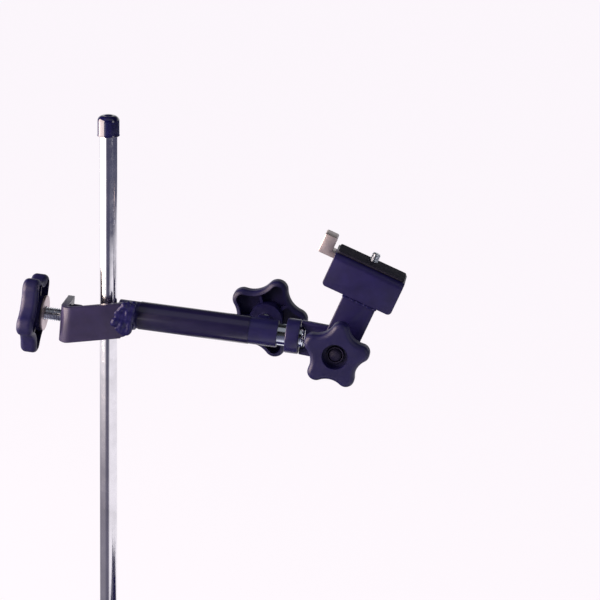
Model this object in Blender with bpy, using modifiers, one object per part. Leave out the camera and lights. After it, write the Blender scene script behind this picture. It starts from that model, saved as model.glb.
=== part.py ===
# Tabletop camera stand: a steel base with an upright rod, a clamp that slides on the rod,
# a short arm with a telescoping rod, and a tilting platform with a camera screw.
# Units are metres, +Z is up. The origin is the centre of the pad under the base.
import math

import bmesh
import bpy
from mathutils import Matrix, Vector

# Clearances
SEAT_GAP = 0.0003          # between pieces that touch
RUN_GAP = 0.0004           # round a shaft that turns or slides

# Base
PAD_THICKNESS = 0.0016
PAD_INSET = 0.003
BASE_LENGTH = 0.305
BASE_WIDTH = 0.254
BASE_THICKNESS = 0.00635
BASE_CORNER_RADIUS = 0.020
BASE_EDGE_BEVEL = 0.0008
ROD_EDGE_MARGIN = 0.040    # rod axis to the base's short edge
FOOT_SCREW_RADIUS = 0.00476
FOOT_SCREW_LENGTH = 0.024
FOOT_HEAD_RADIUS = 0.0092
FOOT_HEAD_HEIGHT = 0.0045
FOOT_SOCKET_RADIUS = 0.0032
FOOT_SOCKET_DEPTH = 0.0024
FOOT_HEAD_RIM = 0.0006
FOOT_HOLE_SPARE = 0.002    # empty end of the rod's hole

# Rod and its cap
ROD_RADIUS = 0.00635
ROD_LENGTH = 0.4566
CAP_WALL = 0.0013
CAP_LENGTH = 0.0148
CAP_NUB_RADIUS = 0.0032
CAP_NUB_HEIGHT = 0.0008
CAP_SHOULDER = 0.0040
CAP_LIP = 0.0003
CAP_LIP_HEIGHT = 0.001

# Clamp: a bent flat bar that hooks round the rod
ARM_HEIGHT = 0.3208        # arm axis above the ground, at the rod
ARM_DROOP = math.radians(4.5)
BAR_WIDTH = 0.0254
BAR_THICKNESS = 0.0048
STRAP_WIDTH = 0.0265
STRAP_WEB_X = -0.0320      # outer face of the web, from the rod axis
STRAP_FRONT_Y = -0.0240    # outer face of the front leg, at the web
STRAP_BACK_Y = 0.0085      # end of the web behind the rod
STRAP_END_X = 0.0185       # right end of the front leg
STRAP_BEND_RADIUS = 0.0056  # of the bar's middle line
STRAP_CORNER_RADIUS = 0.0055
STRAP_RISE = math.tan(math.radians(10.0))   # how the front leg climbs toward the arm
CLAMP_SCREW_DROP = 0.0080  # clamp screw below the arm axis
CLAMP_TIP_GAP = 0.0015     # screw tip to the rod

# Screws and nuts, 3/8 inch
SCREW_RADIUS = 0.00476
SCREW_PITCH = 0.0015875
NUT_ACROSS_FLATS = 0.0143
CLAMP_NUT_ACROSS_FLATS = 0.0172
NUT_THICKNESS = 0.0081
BOLT_HEAD_HEIGHT = 0.0060
WASHER_THICKNESS = 0.0016

# Arm tube, its label and its lock
TUBE_RADIUS = 0.0099
TUBE_START = 0.0078
TUBE_END = 0.1255
LABEL_START = 0.0235
LABEL_END = 0.1045
LABEL_GAP = 0.0002
LABEL_THICKNESS = 0.0002
LOCK_X = 0.1127
LOCK_PAD_LENGTH = 0.0030
LOCK_PAD_INSET = 0.0002    # pad radius inside the screw's

# Extension rod and head
EXTENSION_RADIUS = 0.00794
EXTENSION_INSIDE = 0.085   # length held inside the tube at rest
EXTENSION_CHAMFER = 0.0008
COLLAR_GAP = 0.0062        # visible rod between tube and collar
COLLAR_RADIUS = 0.0127
COLLAR_LENGTH = 0.0100
ROD_NOSE = 0.0034          # rod end that shows past the collar
ROD_NOSE_ROUND = 0.0024
BRACKET_SKEW = math.radians(3.5)
BOLT_REACH = 0.0288        # collar face to the tilt bolt
TILT_LEAN = math.radians(18.0)  # tilt plate against the arm, leaning away from the rod
FRICTION_WASHER_RADIUS = 0.0118
FRICTION_WASHER_THICKNESS = 0.0015

# Platform
FLANGE_LOW = 0.0396        # lower edge of the flange above the tilt bolt
ANGLE_LEG = 0.0254
ANGLE_THICKNESS = 0.0032
ANGLE_BEND_RADIUS = 0.0030
PLATFORM_LEFT = -0.0303
PLATFORM_LENGTH = 0.0540
PLATFORM_CORNER = 0.0030
PAD_SHEET = 0.0015
PAD_MARGIN = 0.0012
CAMERA_SCREW_X = -0.0030
CAMERA_SCREW_Y = 0.0060
CAMERA_SCREW_RADIUS = 0.003175
CAMERA_SCREW_PITCH = 0.00127
CAMERA_SCREW_STANDOUT = 0.0055
THUMB_RADIUS = 0.0080
THUMB_LENGTH = 0.0075
THUMB_GROOVES = 20
THUMB_GROOVE_RADIUS = 0.0007
THUMB_EDGE = 0.0005
THUMB_WASHER_INSET = 0.0006
THUMB_WASHER_THICKNESS = 0.0010
STOP_THICKNESS = 0.0042    # foot under the platform
STOP_BLOCK = 0.0095        # upright block
STOP_WIDTH = 0.0120
STOP_REACH = 0.0395        # outer face of the stop from the camera screw
STOP_HEIGHT = 0.0072       # top of the stop above the platform
STOP_CORNER = 0.0014

# Knobs: five rounded lobes, hollow underneath
CLAMP_KNOB_RADIUS = 0.0305
LOCK_KNOB_RADIUS = 0.0304
TILT_KNOB_RADIUS = 0.0249
LOBES = 5
LOBE_TIP_SHARE = 0.255     # lobe tip radius against knob radius
VALLEY_SHARE = 0.73        # valley distance against knob radius
KNOB_THICKNESS = 0.0125
KNOB_EDGE = 0.0026
KNOB_WALL = 0.0032
KNOB_TOP = 0.0036
HUB_RADIUS = 0.0124
TILT_HUB_RADIUS = 0.0112
CLAMP_HUB_STANDOUT = 0.0010  # hub past the knob's hollow side
LOCK_HUB_STANDOUT = 0.0026
TILT_HUB_STANDOUT = 0.0060
RIB_THICKNESS = 0.0018
CLAMP_KNOB_TURN = math.radians(44.5)
LOCK_KNOB_TURN = math.radians(-3.0)
TILT_KNOB_TURN = math.radians(15.7)
CLAMP_WASHER_RADIUS = 0.0130
CLAMP_WASHER_THICKNESS = 0.0018
CLAMP_KNOB_SEAT = 0.0462   # washer's clamp-side face from the rod axis
LOCK_KNOB_STANDOFF = 0.0085  # lock nut to the knob's hub
RECESS_RADIUS = 0.0094
RECESS_DEPTH = 0.0062
BOLT_STANDOUT = 0.0022     # tilt bolt past the floor of the recess
INSERT_RADIUS = 0.0062
INSERT_LENGTH = 0.0140

# Weld beads
BEAD_RADIUS = 0.0022
PLATFORM_BEAD_RADIUS = 0.0009
STRAP_BEAD_SWEEP = 0.0115  # radius of the bead's curve on the strap

ROUND_SEGMENTS = 48
SMALL_SEGMENTS = 28

rod_x = -(BASE_LENGTH / 2 - ROD_EDGE_MARGIN)
base_bottom = PAD_THICKNESS + SEAT_GAP
base_top = base_bottom + BASE_THICKNESS
rod_bottom = base_top + SEAT_GAP
rod_top = rod_bottom + ROD_LENGTH

for old in list(bpy.data.objects):
    bpy.data.objects.remove(old, do_unlink=True)

stand = bpy.data.collections.new("tabletop_camera_stand")
cutters = bpy.data.collections.new("cutters")
bpy.context.scene.collection.children.link(stand)
bpy.context.scene.collection.children.link(cutters)


def material(name, color, roughness, metallic):
    made = bpy.data.materials.new(name)
    made.use_nodes = True
    shader = made.node_tree.nodes["Principled BSDF"]
    shader.inputs["Base Color"].default_value = (*color, 1.0)
    shader.inputs["Roughness"].default_value = roughness
    shader.inputs["Metallic"].default_value = metallic
    return made


POWDER_COAT = ("powder_coat", (0.016, 0.014, 0.026), 0.42, 0.0)
ZINC = ("zinc_plate", (0.72, 0.74, 0.78), 0.26, 1.0)
KNOB_PLASTIC = ("knob_plastic", (0.014, 0.013, 0.022), 0.36, 0.0)
VINYL = ("vinyl", (0.010, 0.010, 0.014), 0.16, 0.0)
RUBBER = ("rubber", (0.025, 0.025, 0.025), 0.85, 0.0)
BRASS = ("brass", (0.78, 0.58, 0.27), 0.3, 1.0)
NYLON = ("nylon", (0.75, 0.73, 0.68), 0.5, 0.0)
LABEL_FILM = ("label_film", (0.008, 0.008, 0.012), 0.12, 0.0)
BLACK_STEEL = ("black_steel", (0.03, 0.03, 0.035), 0.4, 0.8)


def frame(name, parent, location=(0, 0, 0), rotation=(0, 0, 0)):
    """An empty that carries the pieces placed from one point or joint axis."""
    empty = bpy.data.objects.new(name, None)
    empty.empty_display_size = 0.01
    empty.location = location
    empty.rotation_euler = rotation
    empty.parent = parent
    stand.objects.link(empty)
    return empty


def place(obj, parent, location=(0, 0, 0), rotation=(0, 0, 0)):
    obj.parent = parent
    obj.location = location
    obj.rotation_euler = rotation
    return obj


def part(name, mesh, look, parent, location=(0, 0, 0), rotation=(0, 0, 0)):
    """A named sub-part with its own material and smooth round faces."""
    obj = bpy.data.objects.new(name, mesh)
    stand.objects.link(obj)
    mesh.materials.clear()
    mesh.materials.append(material(name + "_" + look[0], *look[1:]))
    mesh.shade_smooth()
    mesh.set_sharp_from_angle(angle=math.radians(35))
    return place(obj, parent, location, rotation)


def tool(name, mesh, parent, location=(0, 0, 0), rotation=(0, 0, 0)):
    """A cutter or a shape to join, kept out of the model itself."""
    obj = bpy.data.objects.new(name, mesh)
    cutters.objects.link(obj)
    obj.hide_render = True
    obj.display_type = "WIRE"
    return place(obj, parent, location, rotation)


def combine(target, other, operation):
    modifier = target.modifiers.new(other.name, "BOOLEAN")
    modifier.operation = operation
    modifier.solver = "EXACT"
    modifier.object = other


def cut(target, cutter):
    combine(target, cutter, "DIFFERENCE")


def join(target, other):
    combine(target, other, "UNION")


def cylinder(name, radius, length, segments=ROUND_SEGMENTS, bottom=0.0, top_radius=None):
    """A cylinder or cone along +Z, standing on the height called bottom."""
    mesh = bpy.data.meshes.new(name)
    bm = bmesh.new()
    bmesh.ops.create_cone(
        bm, cap_ends=True, segments=segments, radius1=radius,
        radius2=radius if top_radius is None else top_radius, depth=length,
        matrix=Matrix.Translation((0, 0, bottom + length / 2)))
    bm.to_mesh(mesh)
    bm.free()
    return mesh


def box(name, size, centre):
    mesh = bpy.data.meshes.new(name)
    bm = bmesh.new()
    bmesh.ops.create_cube(bm, size=1.0, matrix=Matrix.Translation(centre) @ Matrix.Diagonal((*size, 1.0)))
    bm.to_mesh(mesh)
    bm.free()
    return mesh


def turned(name, profile, segments=ROUND_SEGMENTS):
    """A solid turned about Z from (radius, height) points, given from the top down the outside."""
    mesh = bpy.data.meshes.new(name + "_profile")
    bm = bmesh.new()
    verts = [bm.verts.new((radius, 0, height)) for radius, height in profile]
    for first, second in zip(verts, verts[1:]):
        bm.edges.new((first, second))
    bm.to_mesh(mesh)
    bm.free()
    guide = bpy.data.objects.new(name + "_profile", mesh)
    cutters.objects.link(guide)
    screw = guide.modifiers.new("turn", "SCREW")
    screw.steps = segments
    screw.render_steps = segments
    screw.use_merge_vertices = True
    screw.merge_threshold = 0.00001
    return baked(guide, name)


def baked(guide, name):
    """The evaluated mesh of a guide object, welded into one closed body."""
    graph = bpy.context.evaluated_depsgraph_get()
    mesh = bpy.data.meshes.new_from_object(guide.evaluated_get(graph))
    mesh.name = name
    bpy.data.objects.remove(guide, do_unlink=True)
    bm = bmesh.new()
    bm.from_mesh(mesh)
    bmesh.ops.remove_doubles(bm, verts=bm.verts, dist=0.000005)
    bm.to_mesh(mesh)
    bm.free()
    return mesh


def outline_solid(name, points, thickness, bevel=0.0, bevel_steps=2):
    """A flat outline in XY, raised to a plate centred on Z = 0, with rounded rims if asked."""
    curve = bpy.data.curves.new(name, "CURVE")
    curve.dimensions = "2D"
    curve.fill_mode = "BOTH"
    curve.extrude = thickness / 2 - bevel
    curve.bevel_depth = bevel
    curve.bevel_resolution = bevel_steps
    curve.offset = -bevel
    spline = curve.splines.new("POLY")
    spline.points.add(len(points) - 1)
    for point, (x, y) in zip(spline.points, points):
        point.co = (x, y, 0, 1)
    spline.use_cyclic_u = True
    guide = bpy.data.objects.new(name, curve)
    cutters.objects.link(guide)
    return baked(guide, name)


def bead(name, points, radius):
    """A round bead along a path."""
    curve = bpy.data.curves.new(name, "CURVE")
    curve.dimensions = "3D"
    curve.bevel_depth = radius
    curve.bevel_resolution = 2
    curve.use_fill_caps = True
    spline = curve.splines.new("POLY")
    spline.points.add(len(points) - 1)
    for point, place_at in zip(spline.points, points):
        point.co = (*place_at, 1)
    guide = bpy.data.objects.new(name, curve)
    cutters.objects.link(guide)
    return baked(guide, name)


def arc(centre, radius, start, end, steps):
    """Points on a circular arc, angles in radians, both ends included."""
    return [(centre[0] + radius * math.cos(start + (end - start) * i / steps),
             centre[1] + radius * math.sin(start + (end - start) * i / steps))
            for i in range(steps + 1)]


def rounded_rectangle(length, width, radius, steps=6):
    points = []
    for x_sign, y_sign, start in ((1, 1, 0), (-1, 1, 90), (-1, -1, 180), (1, -1, 270)):
        centre = (x_sign * (length / 2 - radius), y_sign * (width / 2 - radius))
        points += arc(centre, radius, math.radians(start), math.radians(start + 90), steps)
    return points


def bent_path(start, corner, end, radius, steps=6):
    """Two straight runs joined by an arc of the given radius."""
    start, corner, end = Vector(start), Vector(corner), Vector(end)
    back = (start - corner).normalized()
    ahead = (end - corner).normalized()
    half = back.angle(ahead) / 2
    centre = corner + (back + ahead).normalized() * radius / math.sin(half)
    first = corner + back * radius / math.tan(half) - centre
    sweep = first.angle_signed(corner + ahead * radius / math.tan(half) - centre)
    begin = math.atan2(first.y, first.x)
    # angle_signed counts clockwise turns as positive
    return [tuple(start)] + arc(centre, radius, begin, begin - sweep, steps) + [tuple(end)]


def strip_outline(path, thickness):
    """The outline of a bar of even thickness that follows a path."""
    path = [Vector(point) for point in path]
    left, right = [], []
    for i, point in enumerate(path):
        before = (point - path[i - 1]).normalized() if i else None
        after = (path[i + 1] - point).normalized() if i < len(path) - 1 else None
        along = ((before or after) + (after or before)).normalized()
        normal = Vector((-along.y, along.x))
        stretch = 1.0 / (normal.dot(Vector((-(after or before).y, (after or before).x))))
        left.append(tuple(point + normal * stretch * thickness / 2))
        right.append(tuple(point - normal * stretch * thickness / 2))
    return left + right[::-1]


def ring(name, outer, inner, thickness, segments=SMALL_SEGMENTS):
    """A washer or collar standing on Z = 0."""
    return turned(name, [(inner, thickness), (outer, thickness), (outer, 0), (inner, 0), (inner, thickness)],
                  segments)


def hexagon(name, across_flats, thickness, bottom=0.0):
    return cylinder(name, across_flats / 2 / math.cos(math.pi / 6), thickness, 6, bottom)


def hex_nut(name, across_flats, parent, location):
    """A hexagonal nut standing on its frame's origin, with a bore for the screw."""
    nut = part(name, hexagon(name, across_flats, NUT_THICKNESS), POWDER_COAT, parent, location)
    bore = cylinder(name + "_bore", SCREW_RADIUS + RUN_GAP, NUT_THICKNESS * 3, SMALL_SEGMENTS, -NUT_THICKNESS)
    cut(nut, tool(name + "_bore", bore, parent, location))


def lobed_outline(radius, turn, inset=0.0):
    """Five round lobes joined by hollow arcs; inset moves the whole outline inward."""
    half_pitch = math.pi / LOBES
    tip = radius * LOBE_TIP_SHARE
    valley = radius * VALLEY_SHARE
    tip_centre = radius - tip
    near = tip_centre * math.cos(half_pitch)
    hollow = ((tip_centre ** 2 + valley ** 2 - 2 * valley * near - tip ** 2)
              / (2 * (tip - valley + near)))
    hollow_centre = valley + hollow
    # the angle, seen from the lobe's centre, at which lobe and hollow touch
    reach = Vector((hollow_centre * math.cos(half_pitch) - tip_centre,
                    hollow_centre * math.sin(half_pitch)))
    touch = math.atan2(reach.y, reach.x)
    hollow_turn = touch - half_pitch
    points = []
    for lobe in range(LOBES):
        middle = turn + lobe * 2 * half_pitch
        centre = (tip_centre * math.cos(middle), tip_centre * math.sin(middle))
        points += arc(centre, tip - inset, middle - touch, middle + touch, 8)
        gap_middle = middle + half_pitch
        centre = (hollow_centre * math.cos(gap_middle), hollow_centre * math.sin(gap_middle))
        inner = arc(centre, hollow + inset, gap_middle + math.pi + hollow_turn,
                    gap_middle + math.pi - hollow_turn, 5)
        points += inner[1:-1]
    return points


def lobed_knob(name, radius, turn, parent, hub_radius, standout, recess=False):
    """A star knob. Z = 0 is the face of its hub, and the knob stands above it."""
    middle = standout + KNOB_THICKNESS / 2
    body = outline_solid(name, lobed_outline(radius, turn), KNOB_THICKNESS, KNOB_EDGE)
    body.transform(Matrix.Translation((0, 0, middle)))
    knob = part(name, body, KNOB_PLASTIC, parent)
    depth = KNOB_THICKNESS - KNOB_TOP
    hollow = outline_solid(name + "_hollow", lobed_outline(radius, turn, KNOB_WALL), depth * 2)
    cut(knob, tool(name + "_hollow", hollow, parent, (0, 0, standout)))
    hub = cylinder(name + "_hub", hub_radius, standout + depth + KNOB_TOP / 2, SMALL_SEGMENTS)
    join(knob, tool(name + "_hub", hub, parent))
    rib_length = radius * VALLEY_SHARE - KNOB_WALL / 2
    for lobe in range(LOBES):
        angle = turn + (lobe + 0.5) * 2 * math.pi / LOBES
        size = (rib_length - hub_radius / 2, RIB_THICKNESS, depth + KNOB_TOP / 2)
        centre = (hub_radius / 2 + size[0] / 2, 0, standout + KNOB_EDGE / 2 + size[2] / 2)
        rib = box("%s_rib_%d" % (name, lobe + 1), size, centre)
        join(knob, tool(rib.name, rib, parent, (0, 0, 0), (0, 0, angle)))
    if recess:
        top = standout + KNOB_THICKNESS
        well = cylinder(name + "_recess", RECESS_RADIUS, RECESS_DEPTH * 2, SMALL_SEGMENTS, top - RECESS_DEPTH)
        cut(knob, tool(name + "_recess", well, parent))
    return knob


def screw_shank(name, look, radius, length, parent, location=(0, 0, 0), rotation=(0, 0, 0)):
    """A plain shank with chamfered ends, standing on its frame's origin."""
    chamfer = radius * 0.2
    shape = turned(name, [(0, length), (radius - chamfer, length), (radius, length - chamfer),
                          (radius, chamfer), (radius - chamfer, 0), (0, 0)], SMALL_SEGMENTS)
    return part(name, shape, look, parent, location, rotation)


LEFT = (0, -math.pi / 2, 0)      # turns local +Z toward -X
BACK = (-math.pi / 2, 0, 0)      # turns local +Z toward +Y
FRONT = (math.pi / 2, 0, 0)      # turns local +Z toward -Y, local Y toward +Z
ALONG = (0, math.pi / 2, 0)      # turns local +Z toward +X


def make_base():
    ground = frame("base_frame", None)
    plate = outline_solid("base_plate", rounded_rectangle(BASE_LENGTH, BASE_WIDTH, BASE_CORNER_RADIUS),
                          BASE_THICKNESS, BASE_EDGE_BEVEL, 1)
    plate = part("base_plate", plate, POWDER_COAT, ground, (0, 0, base_bottom + BASE_THICKNESS / 2))
    pad = outline_solid("base_pad", rounded_rectangle(BASE_LENGTH - 2 * PAD_INSET, BASE_WIDTH - 2 * PAD_INSET,
                                                      BASE_CORNER_RADIUS - PAD_INSET), PAD_THICKNESS)
    pad = part("base_pad", pad, RUBBER, ground, (0, 0, PAD_THICKNESS / 2))
    foot = frame("foot_frame", ground, (rod_x, 0, 0))
    # the screw's head sits in a countersink of the plate, reached through a hole in the pad
    head_top = base_bottom + SEAT_GAP + FOOT_HEAD_HEIGHT
    tip = head_top + FOOT_SCREW_LENGTH
    shape = turned("foot_screw", [
        (0, tip), (FOOT_SCREW_RADIUS, tip), (FOOT_SCREW_RADIUS, head_top),
        (FOOT_HEAD_RADIUS, base_bottom + SEAT_GAP + FOOT_HEAD_RIM),
        (FOOT_HEAD_RADIUS, base_bottom + SEAT_GAP),
        (FOOT_SOCKET_RADIUS, base_bottom + SEAT_GAP),
        (FOOT_SOCKET_RADIUS, base_bottom + SEAT_GAP + FOOT_SOCKET_DEPTH),
        (0, base_bottom + SEAT_GAP + FOOT_SOCKET_DEPTH)], SMALL_SEGMENTS)
    part("foot_screw", shape, ZINC, foot)
    gap = SEAT_GAP
    sink = turned("foot_countersink", [
        (0, tip), (FOOT_SCREW_RADIUS + gap, tip), (FOOT_SCREW_RADIUS + gap, head_top + gap),
        (FOOT_HEAD_RADIUS + gap, base_bottom + SEAT_GAP + FOOT_HEAD_RIM + gap),
        (FOOT_HEAD_RADIUS + gap, -PAD_THICKNESS), (0, -PAD_THICKNESS)], SMALL_SEGMENTS)
    sink = tool("foot_countersink", sink, foot)
    cut(plate, sink)
    cut(pad, sink)


def make_rod():
    axis = frame("rod_axis", None, (rod_x, 0, 0))
    rod = part("rod", cylinder("rod", ROD_RADIUS, ROD_LENGTH, 40, rod_bottom), ZINC, axis)
    hole_top = base_bottom + SEAT_GAP + FOOT_HEAD_HEIGHT + FOOT_SCREW_LENGTH + FOOT_HOLE_SPARE
    hole = cylinder("rod_hole", FOOT_SCREW_RADIUS + RUN_GAP, hole_top, SMALL_SEGMENTS)
    cut(rod, tool("rod_hole", hole, axis))
    inner = ROD_RADIUS + SEAT_GAP
    outer = inner + CAP_WALL
    roof = rod_top + SEAT_GAP + CAP_WALL
    nub = [(CAP_NUB_RADIUS * math.sin(a), roof + CAP_NUB_HEIGHT * math.cos(a))
           for a in (0.0, 0.5, 1.0, math.pi / 2)]
    shoulder = arc((outer - CAP_SHOULDER, roof - CAP_SHOULDER), CAP_SHOULDER, math.pi / 2, 0, 4)
    low = roof - CAP_LENGTH
    profile = nub + shoulder + [(outer, low + CAP_LIP_HEIGHT), (outer + CAP_LIP, low), (inner, low),
                                (inner, rod_top + SEAT_GAP), (0, rod_top + SEAT_GAP)]
    part("rod_cap", turned("rod_cap", profile, 40), VINYL, axis)
    return axis


def strap_face(x):
    """Y of the strap's outer front face at a place along the arm."""
    run = STRAP_END_X - STRAP_WEB_X
    slant = (strap_end_y - STRAP_FRONT_Y) / run
    return STRAP_FRONT_Y + slant * (x - STRAP_WEB_X)


strap_end_y = -(TUBE_RADIUS + SEAT_GAP + BAR_THICKNESS)


def make_clamp(arm):
    half = BAR_THICKNESS / 2
    middle_x = STRAP_WEB_X + half
    path = bent_path((middle_x, STRAP_BACK_Y), (middle_x, STRAP_FRONT_Y + half),
                     (STRAP_END_X, strap_end_y + half), STRAP_BEND_RADIUS)
    shape = outline_solid("clamp_strap", strip_outline(path, BAR_THICKNESS), STRAP_WIDTH)
    climb_from = STRAP_WEB_X + STRAP_BEND_RADIUS
    for vertex in shape.vertices:
        vertex.co.z += STRAP_RISE * max(0.0, vertex.co.x - climb_from) - CLAMP_SCREW_DROP
    strap = part("clamp_strap", shape, POWDER_COAT, arm)
    screw_line = frame("clamp_screw_line", arm, (0, 0, -CLAMP_SCREW_DROP), LEFT)
    hole = cylinder("strap_hole", SCREW_RADIUS + RUN_GAP, 0.02, SMALL_SEGMENTS, -STRAP_WEB_X - 0.01)
    cut(strap, tool("strap_hole", hole, screw_line))
    # the lower right corner of the front leg is rounded off
    corner_x = STRAP_END_X - STRAP_CORNER_RADIUS
    low = -STRAP_WIDTH / 2 - CLAMP_SCREW_DROP + STRAP_RISE * (STRAP_END_X - climb_from)
    corner_z = low + STRAP_CORNER_RADIUS
    rim = arc((corner_x, corner_z), STRAP_CORNER_RADIUS, 0, -math.pi / 2, 5)
    beyond = STRAP_END_X + STRAP_CORNER_RADIUS
    under = low - STRAP_CORNER_RADIUS
    nick = outline_solid("strap_corner", rim + [(corner_x, under), (beyond, under), (beyond, corner_z)],
                         BAR_THICKNESS * 3)
    nick = tool("strap_corner", nick, arm, (0, strap_end_y + half, 0), FRONT)
    cut(strap, nick)
    nut_face = -STRAP_WEB_X - BAR_THICKNESS - SEAT_GAP
    hex_nut("clamp_nut", CLAMP_NUT_ACROSS_FLATS, screw_line, (0, 0, nut_face - NUT_THICKNESS))
    make_clamp_welds(arm)
    make_clamp_knob(arm)


def make_clamp_welds(arm):
    """One bead curves over the strap's end, the other goes round the tube beside it."""
    centre = (STRAP_END_X - STRAP_BEAD_SWEEP / 4, STRAP_BEAD_SWEEP / 8)
    rim = arc(centre, STRAP_BEAD_SWEEP, math.radians(118), math.radians(262), 12)
    lift = SEAT_GAP + BEAD_RADIUS
    part("strap_weld", bead("strap_weld", [(x, strap_face(x) - lift, z) for x, z in rim], BEAD_RADIUS),
         POWDER_COAT, arm)
    beside = STRAP_END_X + SEAT_GAP + BEAD_RADIUS
    around = arc((0, 0), TUBE_RADIUS + SEAT_GAP + BEAD_RADIUS, math.radians(-165), math.radians(-15), 14)
    part("tube_weld", bead("tube_weld", [(beside, y, z) for z, y in around], BEAD_RADIUS), POWDER_COAT, arm)


def make_clamp_knob(arm):
    # the screw's frame points away from the rod, so a positive turn loosens the clamp
    turn = frame("clamp_knob_axis", arm, (-CLAMP_KNOB_SEAT, 0, -CLAMP_SCREW_DROP), LEFT)
    washer = ring("clamp_washer", CLAMP_WASHER_RADIUS, SCREW_RADIUS + RUN_GAP, CLAMP_WASHER_THICKNESS)
    part("clamp_washer", washer, ZINC, turn)
    seat = frame("clamp_knob_seat", turn, (0, 0, CLAMP_WASHER_THICKNESS + SEAT_GAP))
    knob = lobed_knob("clamp_knob", CLAMP_KNOB_RADIUS, CLAMP_KNOB_TURN, seat, HUB_RADIUS, CLAMP_HUB_STANDOUT)
    rod_face = CLAMP_KNOB_SEAT + CLAMP_WASHER_THICKNESS + SEAT_GAP - ROD_RADIUS
    fit_screw(knob, "clamp_screw", seat, CLAMP_HUB_STANDOUT, CLAMP_TIP_GAP - rod_face)


def fit_screw(knob, name, seat, standout, tip):
    """A screw held in a blind bore of the knob; its free tip is at the height called tip."""
    held = standout + KNOB_THICKNESS - KNOB_TOP - SEAT_GAP
    bore = cylinder(name + "_bore", SCREW_RADIUS + SEAT_GAP, held + SEAT_GAP + 0.01, SMALL_SEGMENTS, -0.01)
    cut(knob, tool(name + "_bore", bore, seat))
    screw_shank(name, ZINC, SCREW_RADIUS, held - tip, seat, (0, 0, tip))


def make_arm(arm):
    length = TUBE_END - TUBE_START
    wall_inner = EXTENSION_RADIUS + RUN_GAP
    tube = ring("arm_tube", TUBE_RADIUS, wall_inner, length, ROUND_SEGMENTS)
    tube = part("arm_tube", tube, POWDER_COAT, arm, (TUBE_START, 0, 0), ALONG)
    label = ring("arm_label", TUBE_RADIUS + LABEL_GAP + LABEL_THICKNESS, TUBE_RADIUS + LABEL_GAP,
                 LABEL_END - LABEL_START, ROUND_SEGMENTS)
    part("arm_label", label, LABEL_FILM, arm, (LABEL_START, 0, 0), ALONG)
    lock = frame("lock_line", arm, (LOCK_X, 0, 0), BACK)
    hole = cylinder("lock_hole", SCREW_RADIUS + RUN_GAP, TUBE_RADIUS * 2, SMALL_SEGMENTS)
    cut(tube, tool("lock_hole", hole, lock))
    nut_seat = TUBE_RADIUS + SEAT_GAP
    hex_nut("lock_nut", NUT_ACROSS_FLATS, lock, (0, 0, nut_seat))
    pad_seat = EXTENSION_RADIUS + SEAT_GAP
    pad = cylinder("lock_pad", SCREW_RADIUS - LOCK_PAD_INSET, LOCK_PAD_LENGTH, SMALL_SEGMENTS)
    part("lock_pad", pad, BRASS, lock, (0, 0, pad_seat))
    seat = frame("lock_knob_seat", lock, (0, 0, nut_seat + NUT_THICKNESS + LOCK_KNOB_STANDOFF))
    knob = lobed_knob("lock_knob", LOCK_KNOB_RADIUS, LOCK_KNOB_TURN, seat, HUB_RADIUS, LOCK_HUB_STANDOUT)
    fit_screw(knob, "lock_screw", seat, LOCK_HUB_STANDOUT,
              pad_seat + LOCK_PAD_LENGTH + SEAT_GAP - nut_seat - NUT_THICKNESS - LOCK_KNOB_STANDOFF)


def make_extension(slide):
    collar_start = TUBE_END + COLLAR_GAP
    start = TUBE_END - EXTENSION_INSIDE
    length = collar_start + COLLAR_LENGTH + ROD_NOSE - start
    nose_centre = (EXTENSION_RADIUS - ROD_NOSE_ROUND, length - ROD_NOSE_ROUND)
    nose = arc(nose_centre, ROD_NOSE_ROUND, math.pi / 2, 0, 4)
    profile = [(0, length)] + nose + [(EXTENSION_RADIUS, EXTENSION_CHAMFER),
                                      (EXTENSION_RADIUS - EXTENSION_CHAMFER, 0), (0, 0)]
    part("extension_rod", turned("extension_rod", profile, 40), ZINC, slide, (start, 0, 0), ALONG)
    return collar_start


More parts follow.
